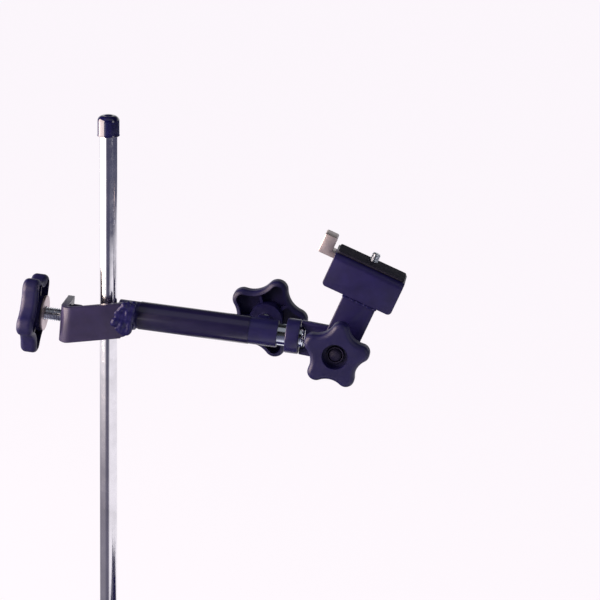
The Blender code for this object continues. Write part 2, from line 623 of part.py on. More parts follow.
def make_head(head):
    """The collar and the flat bar that carries the tilt bolt. The frame is at the collar's far face."""
    collar = ring("head_collar", COLLAR_RADIUS, EXTENSION_RADIUS + SEAT_GAP, COLLAR_LENGTH, ROUND_SEGMENTS)
    part("head_collar", collar, POWDER_COAT, head, (-COLLAR_LENGTH, 0, 0), ALONG)
    bar = frame("bracket_frame", head, (0, 0, 0), (0, BRACKET_SKEW, 0))
    half = BAR_WIDTH / 2
    end = arc((BOLT_REACH, 0), half, math.pi / 2, -math.pi / 2, 12)
    # the skewed bar is cut along the collar's face, with a notch that follows the rod's rounded end
    edge = SEAT_GAP / math.cos(BRACKET_SKEW)
    slope = half * math.tan(BRACKET_SKEW)
    round_off = ROD_NOSE_ROUND + SEAT_GAP
    deep = ROD_NOSE + SEAT_GAP - round_off
    side = EXTENSION_RADIUS + SEAT_GAP - round_off
    notch = [(SEAT_GAP, -side - round_off)] + arc((deep, -side), round_off, -math.pi / 2, 0, 4)
    notch += arc((deep, side), round_off, 0, math.pi / 2, 4) + [(SEAT_GAP, side + round_off)]
    to_bar = Matrix.Rotation(BRACKET_SKEW, 2)
    notch = [tuple(to_bar @ Vector(point)) for point in notch]
    outline = end + [(edge + slope, -half)] + notch + [(edge - slope, half)]
    shape = outline_solid("head_bracket", outline[::-1], BAR_THICKNESS)
    bracket = part("head_bracket", shape, POWDER_COAT, bar, (0, 0, 0), FRONT)
    bolt = frame("tilt_bolt_axis", bar, (BOLT_REACH, 0, 0), FRONT)
    hole = cylinder("bracket_hole", SCREW_RADIUS + SEAT_GAP, BAR_THICKNESS * 3, SMALL_SEGMENTS,
                    -BAR_THICKNESS * 1.5)
    cut(bracket, tool("bracket_hole", hole, bolt))
    back = -BAR_THICKNESS / 2 - SEAT_GAP
    washer = ring("bolt_washer", TILT_HUB_RADIUS, SCREW_RADIUS + SEAT_GAP, WASHER_THICKNESS)
    part("bolt_washer", washer, ZINC, bolt, (0, 0, back - WASHER_THICKNESS))
    friction = ring("friction_washer", FRICTION_WASHER_RADIUS, SCREW_RADIUS + RUN_GAP,
                    FRICTION_WASHER_THICKNESS)
    part("friction_washer", friction, NYLON, bolt, (0, 0, BAR_THICKNESS / 2 + SEAT_GAP))
    head_seat = back - WASHER_THICKNESS - SEAT_GAP
    bolt_end = tilt_knob_seat + TILT_HUB_STANDOUT + KNOB_THICKNESS - RECESS_DEPTH + BOLT_STANDOUT
    start = head_seat - BOLT_HEAD_HEIGHT / 2
    shank = cylinder("tilt_bolt", SCREW_RADIUS, bolt_end - start, SMALL_SEGMENTS, start)
    bolt_part = part("tilt_bolt", shank, BLACK_STEEL, bolt)
    head_shape = hexagon("tilt_bolt_head", NUT_ACROSS_FLATS, BOLT_HEAD_HEIGHT, head_seat - BOLT_HEAD_HEIGHT)
    join(bolt_part, tool("tilt_bolt_head", head_shape, bolt))
    return bar


plate_back = BAR_THICKNESS / 2 + SEAT_GAP * 2 + FRICTION_WASHER_THICKNESS
plate_front = plate_back + BAR_THICKNESS
tilt_washer_back = plate_front + SEAT_GAP
tilt_knob_seat = tilt_washer_back + WASHER_THICKNESS + SEAT_GAP


def make_tilt(tilt):
    """Everything that tilts with the plate. Local X lies along the platform, Z away from the bolt."""
    bolt = frame("tilt_stack", tilt, (0, 0, 0), FRONT)
    half = BAR_WIDTH / 2
    leg_under = FLANGE_LOW + ANGLE_LEG - ANGLE_THICKNESS
    # the plate stops short of the fillet inside the angle
    top = leg_under - ANGLE_BEND_RADIUS / 2 - SEAT_GAP
    outline = arc((0, 0), half, -math.pi, 0, 14) + [(half, top), (-half, top)]
    shape = outline_solid("tilt_plate", outline, BAR_THICKNESS)
    plate = part("tilt_plate", shape, POWDER_COAT, tilt, (0, -plate_back - BAR_THICKNESS / 2, 0), FRONT)
    hole = cylinder("plate_hole", SCREW_RADIUS + RUN_GAP, BAR_THICKNESS * 3, SMALL_SEGMENTS,
                    plate_back - BAR_THICKNESS)
    cut(plate, tool("plate_hole", hole, bolt))
    weld_z = FLANGE_LOW - SEAT_GAP - PLATFORM_BEAD_RADIUS
    weld_y = -plate_front - SEAT_GAP - PLATFORM_BEAD_RADIUS
    run = [(-half + half * i / 2, weld_y, weld_z) for i in range(5)]
    part("platform_weld", bead("platform_weld", run, PLATFORM_BEAD_RADIUS), POWDER_COAT, tilt)
    make_platform(tilt)


def make_platform(tilt):
    t = ANGLE_THICKNESS
    flange_y = -plate_front - SEAT_GAP - t / 2
    top_z = FLANGE_LOW + ANGLE_LEG
    far_y = flange_y - t / 2 + ANGLE_LEG
    # the angle's section is drawn in local XY as (height, depth) and runs along the platform
    path = bent_path((FLANGE_LOW, flange_y), (top_z - t / 2, flange_y), (top_z - t / 2, far_y),
                     ANGLE_BEND_RADIUS, 5)
    shape = outline_solid("camera_platform", strip_outline(path, t), PLATFORM_LENGTH)
    # local X becomes up, local Y stays depth, local Z runs along the platform
    shape.transform(Matrix(((0, 0, -1, 0), (0, 1, 0, 0), (1, 0, 0, 0), (0, 0, 0, 1))))
    shape.transform(Matrix.Translation((PLATFORM_LEFT + PLATFORM_LENGTH / 2, 0, 0)))
    round_flange_corners(shape)
    platform = part("camera_platform", shape, POWDER_COAT, tilt)
    screw = frame("camera_screw_axis", tilt, (CAMERA_SCREW_X, CAMERA_SCREW_Y, 0))
    hole = cylinder("platform_hole", CAMERA_SCREW_RADIUS + RUN_GAP, 0.04, SMALL_SEGMENTS, top_z - 0.02)
    hole = tool("platform_hole", hole, screw)
    cut(platform, hole)
    depth = ANGLE_LEG - ANGLE_BEND_RADIUS - 2 * PAD_MARGIN
    sheet = outline_solid("camera_pad", rounded_rectangle(PLATFORM_LENGTH - 2 * PAD_MARGIN, depth, 0.002, 3),
                          PAD_SHEET)
    sheet = part("camera_pad", sheet, RUBBER, tilt,
                 (PLATFORM_LEFT + PLATFORM_LENGTH / 2, far_y - PAD_MARGIN - depth / 2,
                  top_z + SEAT_GAP + PAD_SHEET / 2))
    cut(sheet, hole)
    under = top_z - t - SEAT_GAP
    make_stop(tilt, hole, under, top_z)
    make_camera_screw(screw, under - STOP_THICKNESS - SEAT_GAP, top_z + SEAT_GAP + PAD_SHEET)


def round_flange_corners(shape):
    bm = bmesh.new()
    bm.from_mesh(shape)
    low = FLANGE_LOW + 0.0001
    ends = (PLATFORM_LEFT, PLATFORM_LEFT + PLATFORM_LENGTH)
    corners = [edge for edge in bm.edges
               if all(v.co.z < low and min(abs(v.co.x - end) for end in ends) < 0.0001 for v in edge.verts)
               and abs(edge.verts[0].co.y - edge.verts[1].co.y) > ANGLE_THICKNESS / 2]
    bmesh.ops.bevel(bm, geom=corners, offset=PLATFORM_CORNER, segments=4, profile=0.5, affect="EDGES")
    bm.to_mesh(shape)
    bm.free()


def make_stop(tilt, hole, under, top_z):
    """A thick block beside the platform, on a foot that is clamped under it by the camera screw."""
    outer_x = CAMERA_SCREW_X - STOP_REACH
    inner_x = outer_x + STOP_BLOCK
    right_x = CAMERA_SCREW_X + CAMERA_SCREW_RADIUS * 2.6
    low = under - STOP_THICKNESS
    high = top_z + STOP_HEIGHT
    outline = [(right_x, low), (right_x, under), (inner_x, under)]
    for x, z, start in ((inner_x - STOP_CORNER, high - STOP_CORNER, 0),
                        (outer_x + STOP_CORNER, high - STOP_CORNER, 90),
                        (outer_x + STOP_CORNER, low + STOP_CORNER, 180)):
        outline += arc((x, z), STOP_CORNER, math.radians(start), math.radians(start + 90), 4)
    shape = outline_solid("rear_stop", outline, STOP_WIDTH)
    stop = part("rear_stop", shape, ZINC, tilt, (0, CAMERA_SCREW_Y, 0), FRONT)
    cut(stop, hole)


def make_camera_screw(screw, seat, pad_top):
    washer = ring("camera_washer", THUMB_RADIUS - THUMB_WASHER_INSET, CAMERA_SCREW_RADIUS + RUN_GAP,
                  THUMB_WASHER_THICKNESS)
    part("camera_washer", washer, NYLON, screw, (0, 0, seat - THUMB_WASHER_THICKNESS))
    head_top = seat - THUMB_WASHER_THICKNESS - SEAT_GAP
    head_low = head_top - THUMB_LENGTH
    tip = pad_top + CAMERA_SCREW_STANDOUT
    chamfer = CAMERA_SCREW_RADIUS * 0.2
    shape = turned("camera_screw", [
        (0, tip), (CAMERA_SCREW_RADIUS - chamfer, tip), (CAMERA_SCREW_RADIUS, tip - chamfer),
        (CAMERA_SCREW_RADIUS, head_top), (THUMB_RADIUS - THUMB_EDGE, head_top),
        (THUMB_RADIUS, head_top - THUMB_EDGE), (THUMB_RADIUS, head_low + THUMB_EDGE),
        (THUMB_RADIUS - THUMB_EDGE, head_low), (0, head_low)], SMALL_SEGMENTS)
    body = part("camera_screw", shape, ZINC, screw)
    cut(body, tool("thumb_grooves", groove_ring(head_top), screw))


def groove_ring(head_top):
    """Upright wires round the thumb head, whose cuts leave its grip."""
    mesh = bpy.data.meshes.new("thumb_grooves")
    bm = bmesh.new()
    for i in range(THUMB_GROOVES):
        angle = 2 * math.pi * i / THUMB_GROOVES
        at = (THUMB_RADIUS * 1.03 * math.cos(angle), THUMB_RADIUS * 1.03 * math.sin(angle),
              head_top - THUMB_LENGTH / 2)
        bmesh.ops.create_cone(bm, cap_ends=True, segments=6, radius1=THUMB_GROOVE_RADIUS,
                              radius2=THUMB_GROOVE_RADIUS, depth=THUMB_LENGTH * 2,
                              matrix=Matrix.Translation(at))
    bm.to_mesh(mesh)
    bm.free()
    return mesh


def make_tilt_knob(bar):
    bolt = frame("tilt_knob_axis", bar, (BOLT_REACH, 0, 0), FRONT)
    washer = ring("tilt_washer", TILT_HUB_RADIUS, SCREW_RADIUS + RUN_GAP, WASHER_THICKNESS)
    part("tilt_washer", washer, ZINC, bolt, (0, 0, tilt_washer_back))
    seat = frame("tilt_knob_seat", bolt, (0, 0, tilt_knob_seat))
    knob = lobed_knob("tilt_knob", TILT_KNOB_RADIUS, TILT_KNOB_TURN, seat, TILT_HUB_RADIUS, TILT_HUB_STANDOUT,
                      recess=True)
    bore = cylinder("insert_bore", INSERT_RADIUS + SEAT_GAP, 0.05, SMALL_SEGMENTS, -0.01)
    cut(knob, tool("insert_bore", bore, seat))
    insert = ring("tilt_insert", INSERT_RADIUS, SCREW_RADIUS + RUN_GAP, INSERT_LENGTH)
    part("tilt_insert", insert, BLACK_STEEL, seat)


make_base()
make_rod()
arm_frame = frame("arm_frame", None, (rod_x, 0, ARM_HEIGHT), (0, ARM_DROOP, 0))
make_clamp(arm_frame)
make_arm(arm_frame)
slide_frame = frame("extension_slide", arm_frame)
collar_x = make_extension(slide_frame)
head_frame = frame("head_roll", slide_frame, (collar_x + COLLAR_LENGTH, 0, 0))
bracket_frame = make_head(head_frame)
tilt_frame = frame("tilt_pivot", bracket_frame, (BOLT_REACH, 0, 0), (0, TILT_LEAN - BRACKET_SKEW, 0))
make_tilt(tilt_frame)
make_tilt_knob(bracket_frame)
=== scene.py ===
# Looks of the tabletop camera stand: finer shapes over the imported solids, finishes, light and camera.
from math import atan2, cos, hypot, pi, radians, sin, tan

import bmesh
import bpy
from mathutils import Matrix, Vector, noise


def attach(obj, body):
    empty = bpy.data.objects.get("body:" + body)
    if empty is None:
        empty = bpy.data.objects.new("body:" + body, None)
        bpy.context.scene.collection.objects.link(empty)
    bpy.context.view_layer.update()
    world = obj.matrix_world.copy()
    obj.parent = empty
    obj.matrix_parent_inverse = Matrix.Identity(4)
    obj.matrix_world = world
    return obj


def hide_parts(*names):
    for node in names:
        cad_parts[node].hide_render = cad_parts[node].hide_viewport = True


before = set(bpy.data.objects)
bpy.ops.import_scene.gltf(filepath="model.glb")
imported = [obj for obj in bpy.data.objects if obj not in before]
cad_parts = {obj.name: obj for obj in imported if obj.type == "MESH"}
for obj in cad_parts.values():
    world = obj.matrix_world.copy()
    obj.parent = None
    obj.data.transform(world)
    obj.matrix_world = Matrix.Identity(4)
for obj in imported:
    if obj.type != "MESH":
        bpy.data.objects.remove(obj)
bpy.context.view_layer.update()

# Sizes in metres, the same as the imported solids
SEAT_GAP = 0.0003
RUN_GAP = 0.0004
THROUGH = 0.01  # how far a cutter reaches past what it cuts
NICK_REACH = 0.004  # how far a corner's cutter stands outside the bar
NICK_DEPTH = 0.006
FOOT_SINK_RADIUS = 0.0098
FOOT_SINK_HEIGHT = 0.0071
BASE_LENGTH = 0.305
BASE_WIDTH = 0.254
BASE_THICKNESS = 0.00635
BASE_CORNER_RADIUS = 0.020
PAD_THICKNESS = 0.0016
ROD_X = -0.1125
ROD_RADIUS = 0.00635
ROD_LENGTH = 0.4566
CAP_WALL = 0.0013
CAP_LENGTH = 0.0148
CAP_NUB_RADIUS = 0.0032
CAP_NUB_HEIGHT = 0.0008
CAP_SHOULDER = 0.0040
ARM_HEIGHT = 0.3208
ARM_DROOP = radians(4.5)
BAR_WIDTH = 0.0254
BAR_THICKNESS = 0.0048
BAR_EDGE = 0.0007
STRAP_WIDTH = 0.0265
STRAP_WEB_X = -0.0320
STRAP_FRONT_Y = -0.0240
STRAP_BACK_Y = 0.0085
STRAP_END_X = 0.0185
STRAP_BEND_RADIUS = 0.0056
STRAP_CORNER_RADIUS = 0.0055
STRAP_RISE = tan(radians(10.0))
CLAMP_SCREW_DROP = 0.0080
CLAMP_TIP_GAP = 0.0015
SCREW_RADIUS = 0.00476
SCREW_PITCH = 0.0015875
NUT_ACROSS_FLATS = 0.0143
CLAMP_NUT_ACROSS_FLATS = 0.0172
NUT_THICKNESS = 0.0081
BOLT_HEAD_HEIGHT = 0.0060
WASHER_THICKNESS = 0.0016
TUBE_RADIUS = 0.0099
TUBE_START = 0.0078
TUBE_END = 0.1255
LABEL_START = 0.0235
LABEL_END = 0.1045
LABEL_GAP = 0.0002
LABEL_THICKNESS = 0.0002
LOCK_X = 0.1127
LOCK_PAD_LENGTH = 0.0030
EXTENSION_RADIUS = 0.00794
EXTENSION_INSIDE = 0.085
COLLAR_GAP = 0.0062
COLLAR_RADIUS = 0.0127
COLLAR_LENGTH = 0.0100
ROD_NOSE = 0.0034
ROD_NOSE_ROUND = 0.0024
BRACKET_SKEW = radians(3.5)
BOLT_REACH = 0.0288
TILT_LEAN = radians(18.0)
FRICTION_WASHER_THICKNESS = 0.0015
FLANGE_LOW = 0.0396
ANGLE_LEG = 0.0254
ANGLE_THICKNESS = 0.0032
ANGLE_BEND_RADIUS = 0.0030
PLATFORM_LEFT = -0.0303
PLATFORM_LENGTH = 0.0540
PLATFORM_CORNER = 0.0030
PAD_SHEET = 0.0015
PAD_MARGIN = 0.0012
PAD_CORNER = 0.0020
CAMERA_SCREW_X = -0.0030
CAMERA_SCREW_Y = 0.0060
CAMERA_SCREW_RADIUS = 0.003175
CAMERA_SCREW_PITCH = 0.00127
CAMERA_SCREW_STANDOUT = 0.0055
CAMERA_WASHER_THICKNESS = 0.0010
THUMB_RADIUS = 0.0080
THUMB_LENGTH = 0.0075
STOP_THICKNESS = 0.0042
STOP_BLOCK = 0.0095
STOP_WIDTH = 0.0120
STOP_REACH = 0.0395
STOP_HEIGHT = 0.0072
STOP_CORNER = 0.0014
CLAMP_KNOB_RADIUS = 0.0305
LOCK_KNOB_RADIUS = 0.0304
TILT_KNOB_RADIUS = 0.0249
LOBES = 5
LOBE_TIP_SHARE = 0.255
VALLEY_SHARE = 0.73
KNOB_THICKNESS = 0.0125
KNOB_EDGE = 0.0038
KNOB_WALL = 0.0032
KNOB_TOP = 0.0036
HUB_RADIUS = 0.0124
TILT_HUB_RADIUS = 0.0112
CLAMP_HUB_STANDOUT = 0.0010
LOCK_HUB_STANDOUT = 0.0026
TILT_HUB_STANDOUT = 0.0060
RIB_THICKNESS = 0.0018
CLAMP_KNOB_TURN = radians(44.5)
LOCK_KNOB_TURN = radians(-3.0)
TILT_KNOB_TURN = radians(15.7)
CLAMP_WASHER_RADIUS = 0.0130
CLAMP_WASHER_THICKNESS = 0.0018
CLAMP_KNOB_SEAT = 0.0462
LOCK_KNOB_STANDOFF = 0.0085
RECESS_RADIUS = 0.0094
RECESS_DEPTH = 0.0062
BOLT_STANDOUT = 0.0022
INSERT_RADIUS = 0.0062
INSERT_LENGTH = 0.0140
BEAD_RADIUS = 0.0022
PLATFORM_BEAD_RADIUS = 0.0009

# Rolled edges, finer than in the solids
LABEL_EASE = 0.00008
NUT_EASE = 0.00018
FINE_EASE = 0.0003
KNOB_EASE = 0.0004
CAP_EASE = 0.0005
STOP_EASE = 0.0005
SHEET_EASE = 0.0006
COLLAR_EASE = 0.0008
BASE_EASE = 0.0009
THUMB_EASE = 0.0009

# The photograph's camera
VIEW_AZIMUTH = radians(6.5)
VIEW_ELEVATION = radians(17.0)
VIEW_ROLL = radians(1.4)
VIEW_DISTANCE = 1.7
VIEW_TARGET = Vector((ROD_X + 0.1406, 0, 0.3376))
METRES_PER_PIXEL = 0.000722
FRAME_PIXELS = 600
SENSOR = 36.0

screw_bore = SCREW_RADIUS + RUN_GAP
base_bottom = PAD_THICKNESS + SEAT_GAP
base_top = base_bottom + BASE_THICKNESS
rod_bottom = base_top + SEAT_GAP
rod_top = rod_bottom + ROD_LENGTH
strap_end_y = -(TUBE_RADIUS + SEAT_GAP + BAR_THICKNESS)
collar_end = TUBE_END + COLLAR_GAP + COLLAR_LENGTH
plate_back = BAR_THICKNESS / 2 + SEAT_GAP * 2 + FRICTION_WASHER_THICKNESS
plate_front = plate_back + BAR_THICKNESS
tilt_washer_back = plate_front + SEAT_GAP
tilt_knob_seat = tilt_washer_back + WASHER_THICKNESS + SEAT_GAP


def shift(x, y, z):
    return Matrix.Translation((x, y, z))


def turn(angle, axis):
    return Matrix.Rotation(angle, 4, axis)


LEFT = turn(-pi / 2, "Y")
BACK = turn(-pi / 2, "X")
FRONT = turn(pi / 2, "X")
ALONG = turn(pi / 2, "Y")

rod_place = shift(ROD_X, 0, 0)
arm_place = shift(ROD_X, 0, ARM_HEIGHT) @ turn(ARM_DROOP, "Y")
clamp_screw_place = arm_place @ shift(-CLAMP_KNOB_SEAT, 0, -CLAMP_SCREW_DROP) @ LEFT
lock_place = arm_place @ shift(LOCK_X, 0, 0) @ BACK
head_place = arm_place @ shift(collar_end, 0, 0)
bar_place = head_place @ turn(BRACKET_SKEW, "Y")
bolt_place = bar_place @ shift(BOLT_REACH, 0, 0) @ FRONT
tilt_place = bar_place @ shift(BOLT_REACH, 0, 0) @ turn(TILT_LEAN - BRACKET_SKEW, "Y")


# Outlines

def arc(centre, radius, start, end, steps):
    """Points on a circular arc, angles in radians, both ends included."""
    return [(centre[0] + radius * cos(start + (end - start) * i / steps),
             centre[1] + radius * sin(start + (end - start) * i / steps))
            for i in range(steps + 1)]


def rounded_rectangle(length, width, radius, steps):
    points = []
    for x_sign, y_sign, start in ((1, 1, 0), (-1, 1, 90), (-1, -1, 180), (1, -1, 270)):
        centre = (x_sign * (length / 2 - radius), y_sign * (width / 2 - radius))
        points += arc(centre, radius, radians(start), radians(start + 90), steps)
    return points


def bent_path(start, corner, end, radius, steps=14):
    """Two straight runs joined by an arc of the given radius."""
    start, corner, end = Vector(start), Vector(corner), Vector(end)
    back = (start - corner).normalized()
    ahead = (end - corner).normalized()
    half = back.angle(ahead) / 2
    centre = corner + (back + ahead).normalized() * radius / sin(half)
    first = corner + back * radius / tan(half) - centre
    sweep = first.angle_signed(corner + ahead * radius / tan(half) - centre)
    begin = atan2(first.y, first.x)
    return [tuple(start)] + arc(centre, radius, begin, begin - sweep, steps) + [tuple(end)]


def strip_outline(path, thickness):
    """The outline of a bar of even thickness that follows a path."""
    path = [Vector(point) for point in path]
    left, right = [], []
    for i, point in enumerate(path):
        before = (point - path[i - 1]).normalized() if i else None
        after = (path[i + 1] - point).normalized() if i < len(path) - 1 else None
        along = ((before or after) + (after or before)).normalized()
        normal = Vector((-along.y, along.x))
        other = after or before
        stretch = 1.0 / normal.dot(Vector((-other.y, other.x)))
        left.append(tuple(point + normal * stretch * thickness / 2))
        right.append(tuple(point - normal * stretch * thickness / 2))
    return left + right[::-1]


def lobed_outline(radius, start, inset=0.0, steps=18):
    """Five round lobes joined by hollow arcs; inset moves the whole outline inward."""
    half_pitch = pi / LOBES
    tip = radius * LOBE_TIP_SHARE
    valley = radius * VALLEY_SHARE
    tip_centre = radius - tip
    near = tip_centre * cos(half_pitch)
    hollow = ((tip_centre ** 2 + valley ** 2 - 2 * valley * near - tip ** 2)
              / (2 * (tip - valley + near)))
    hollow_centre = valley + hollow
    reach = Vector((hollow_centre * cos(half_pitch) - tip_centre,
                    hollow_centre * sin(half_pitch)))
    touch = atan2(reach.y, reach.x)
    hollow_turn = touch - half_pitch
    points = []
    for lobe in range(LOBES):
        middle = start + lobe * 2 * half_pitch
        centre = (tip_centre * cos(middle), tip_centre * sin(middle))
        points += arc(centre, tip - inset, middle - touch, middle + touch, steps)
        gap = middle + half_pitch
        centre = (hollow_centre * cos(gap), hollow_centre * sin(gap))
        facing = gap + pi
        inner = arc(centre, hollow + inset, facing + hollow_turn, facing - hollow_turn, steps // 2)
        points += inner[1:-1]
    return points


def eased(profile, radius, steps=3):
    """A profile of (radius, height) points with its corners rounded off the axis."""
    points = [Vector(point) for point in profile]
    smooth = [tuple(points[0])]
    for before, corner, after in zip(points, points[1:], points[2:]):
        reach = min(radius, (before - corner).length * 0.45, (after - corner).length * 0.45)
        first = corner + (before - corner).normalized() * reach
        last = corner + (after - corner).normalized() * reach
        for i in range(steps + 1):
            t = i / steps
            smooth.append(tuple(first * (1 - t) ** 2 + corner * 2 * t * (1 - t) + last * t ** 2))
    return smooth + [tuple(points[-1])]


# Shapes

def linked(name, data):
    """A new object in the scene."""
    obj = bpy.data.objects.new(name, data)
    bpy.context.scene.collection.objects.link(obj)
    return obj


def finished_mesh(name, bm):
    bmesh.ops.recalc_face_normals(bm, faces=bm.faces)
    mesh = bpy.data.meshes.new(name)
    bm.to_mesh(mesh)
    bm.free()
    return mesh


def turned(name, profile, segments=96):
    """A solid turned about Z from (radius, height) points, from the top down the outside."""
    bm = bmesh.new()
    verts = [bm.verts.new((radius, 0, height)) for radius, height in profile]
    edges = [bm.edges.new(pair) for pair in zip(verts, verts[1:])]
    bmesh.ops.spin(bm, geom=verts + edges, axis=(0, 0, 1), cent=(0, 0, 0), steps=segments,
                   angle=2 * pi, use_merge=True)
    bmesh.ops.remove_doubles(bm, verts=bm.verts, dist=0.000002)
    return finished_mesh(name, bm)


def ring(name, outer, inner, low, high, ease=FINE_EASE, segments=72):
    seam = (inner, (low + high) / 2)
    corners = [seam, (inner, high), (outer, high), (outer, low), (inner, low), seam]
    return turned(name, eased(corners, ease), segments)


def plate(name, outline, low, high, ease=0.0, steps=3):
    """A flat outline in XY raised from low to high, its rims rounded by ease."""
    bm = bmesh.new()
    face = bm.faces.new([bm.verts.new((x, y, low)) for x, y in outline])
    raised = bmesh.ops.extrude_face_region(bm, geom=[face])
    top = [item for item in raised["geom"] if isinstance(item, bmesh.types.BMVert)]
    bmesh.ops.translate(bm, verts=top, vec=(0, 0, high - low))
    if ease:
        rims = [edge for edge in bm.edges if abs(edge.verts[0].co.z - edge.verts[1].co.z) < 0.000001]
        bmesh.ops.bevel(bm, geom=rims, offset=ease, segments=steps, profile=0.5, affect="EDGES")
    return finished_mesh(name, bm)


def pillow(name, outline, thickness, edge, steps=8):
    """A flat outline raised to a plate centred on Z = 0, its rims rolled over to a wide radius."""
    curve = bpy.data.curves.new(name, "CURVE")
    curve.dimensions = "2D"
    curve.fill_mode = "BOTH"
    curve.extrude = thickness / 2 - edge
    curve.bevel_depth = edge
    curve.bevel_resolution = steps
    curve.offset = -edge
    spline = curve.splines.new("POLY")
    spline.points.add(len(outline) - 1)
    for point, (x, y) in zip(spline.points, outline):
        point.co = (x, y, 0, 1)
    spline.use_cyclic_u = True
    bm = bmesh.new()
    bm.from_mesh(evaluated(linked(name, curve)))
    bmesh.ops.remove_doubles(bm, verts=bm.verts, dist=0.000005)
    return finished_mesh(name, bm)


def evaluated(guide):
    """The mesh of an object with its modifiers, taking the object away."""
    graph = bpy.context.evaluated_depsgraph_get()
    mesh = bpy.data.meshes.new_from_object(guide.evaluated_get(graph))
    bpy.data.objects.remove(guide, do_unlink=True)
    return mesh


def combined(mesh, operation, *others):
    """mesh with each of the other meshes joined, cut away or kept in common."""
    guide = linked(mesh.name, mesh)
    helpers = [linked(other.name, other) for other in others]
    for helper in helpers:
        modifier = guide.modifiers.new(helper.name, "BOOLEAN")
        modifier.operation = operation
        modifier.solver = "EXACT"
        modifier.object = helper
    result = evaluated(guide)
    for helper in helpers:
        bpy.data.objects.remove(helper, do_unlink=True)
    return result


def cut(mesh, *tools):
    return combined(mesh, "DIFFERENCE", *tools)


def softened(mesh, width, steps=2):
    """mesh with its sharp edges rounded."""
    guide = linked(mesh.name, mesh)
    bevel = guide.modifiers.new("soften", "BEVEL")
    bevel.width = width
    bevel.segments = steps
    bevel.limit_method = "ANGLE"
    bevel.angle_limit = radians(40)
    bevel.use_clamp_overlap = True
    return evaluated(guide)


def moved(mesh, place):
    mesh.transform(place)
    return mesh


def drill(name, radius, low, high, segments=64):
    return turned(name, [(0, high), (radius, high), (radius, low), (0, low)], segments)


def threaded(name, radius, pitch, low, high, segments=48):
    """A screw thread along Z with chamfered ends."""
    rows_per_turn = 8
    depth = pitch * 0.495
    chamfer = pitch * 0.7
    chamfer_share = 0.8
    flank, crest = 1.15, 0.08
    rows = max(2, round((high - low) / pitch * rows_per_turn))
    bm = bmesh.new()
    rings = []
    for row in range(rows + 1):
        z = low + (high - low) * row / rows
        taper = chamfer_share * max(0.0, 1.0 - min(z - low, high - z) / chamfer)
        circle = []
        for k in range(segments):
            angle = 2 * pi * k / segments
            phase = (z / pitch - k / segments) % 1.0
            r = radius - depth * max(abs(2 * phase - 1) * flank - crest, taper, 0.0)
            circle.append(bm.verts.new((r * cos(angle), r * sin(angle), z)))
        rings.append(circle)
    for lower, upper in zip(rings, rings[1:]):
        for k in range(segments):
            after = (k + 1) % segments
            bm.faces.new((lower[k], lower[after], upper[after], upper[k]))
    bm.faces.new(rings[0][::-1])
    bm.faces.new(rings[-1])
    return finished_mesh(name, bm)


def hexagon(name, across, low, high, bore=0.0):
    """A hexagonal nut or bolt head with turned chamfers."""
    corner = across / 2 / cos(pi / 6)
    prism = plate(name, [(corner * cos(k * pi / 3), corner * sin(k * pi / 3))
                         for k in range(6)], low, high)
    face = across / 2 * 0.97
    outer = corner * 1.02
    slope = corner * 0.14
    envelope = turned(name + "_cone", [(0, high), (face, high), (outer, high - slope),
                                       (outer, low + slope), (face, low), (0, low)])
    mesh = combined(prism, "INTERSECT", envelope)
    if bore:
        mesh = cut(mesh, drill(name + "_bore", bore, low - THROUGH, high + THROUGH))
    return softened(mesh, NUT_EASE)


def weld_bead(name, paths, radius, seed, rough):
    """Runs of molten metal along paths, swelling and wandering, fused into one lumpy bead."""
    drop_step = radius * 0.3
    lump_length = radius * 1.5
    seed_step, row_step = 1.7, 3.1
    noise.seed_set(seed)  # without it noise_vector differs in each run
    bm = bmesh.new()
    for row, path in enumerate(paths):
        points = [Vector(point) for point in path]
        lengths = [(b - a).length for a, b in zip(points, points[1:])]
        count = max(3, round(sum(lengths) / drop_step))
        for i in range(count + 1):
            place = sum(lengths) * i / count
            along = place
            for a, b, length in zip(points, points[1:], lengths):
                if along <= length:
                    break
                along -= length
            centre = a.lerp(b, min(1.0, along / length))
            at = Vector((place / lump_length, seed * seed_step, row * row_step))
            size = radius * (1 + rough * noise.noise(at))
            wander = noise.noise_vector(at * 0.8 + Vector((9, 4, 2))) * radius * rough
            bmesh.ops.create_icosphere(bm, subdivisions=3, radius=size, matrix=shift(*(centre + wander)))
    guide = linked(name, finished_mesh(name, bm))
    fuse = guide.modifiers.new("fuse", "REMESH")
    fuse.mode = "VOXEL"
    fuse.voxel_size = radius / 6
    relax = guide.modifiers.new("relax", "SMOOTH")
    relax.iterations = 14
    return evaluated(guide)


# Finishes. Noise scales are per metre, bump distances are metres.

COAT_BLACK = (0.0045, 0.0035, 0.050)
DRAWN = 0.012  # the noise's scale along drawn stock, beside 1 across it


def surface(name, color, roughness, metallic=0.0, coat=0.0, coat_roughness=0.1, specular=0.5):
    made = bpy.data.materials.new(name)
    made.use_nodes = True
    shader = made.node_tree.nodes["Principled BSDF"]
    shader.inputs["Base Color"].default_value = (*color, 1.0)
    shader.inputs["Roughness"].default_value = roughness
    shader.inputs["Metallic"].default_value = metallic
    shader.inputs["Coat Weight"].default_value = coat
    shader.inputs["Coat Roughness"].default_value = coat_roughness
    shader.inputs["Specular IOR Level"].default_value = specular
    return made


def new_node(made, kind):
    return made.node_tree.nodes.new("ShaderNode" + kind)


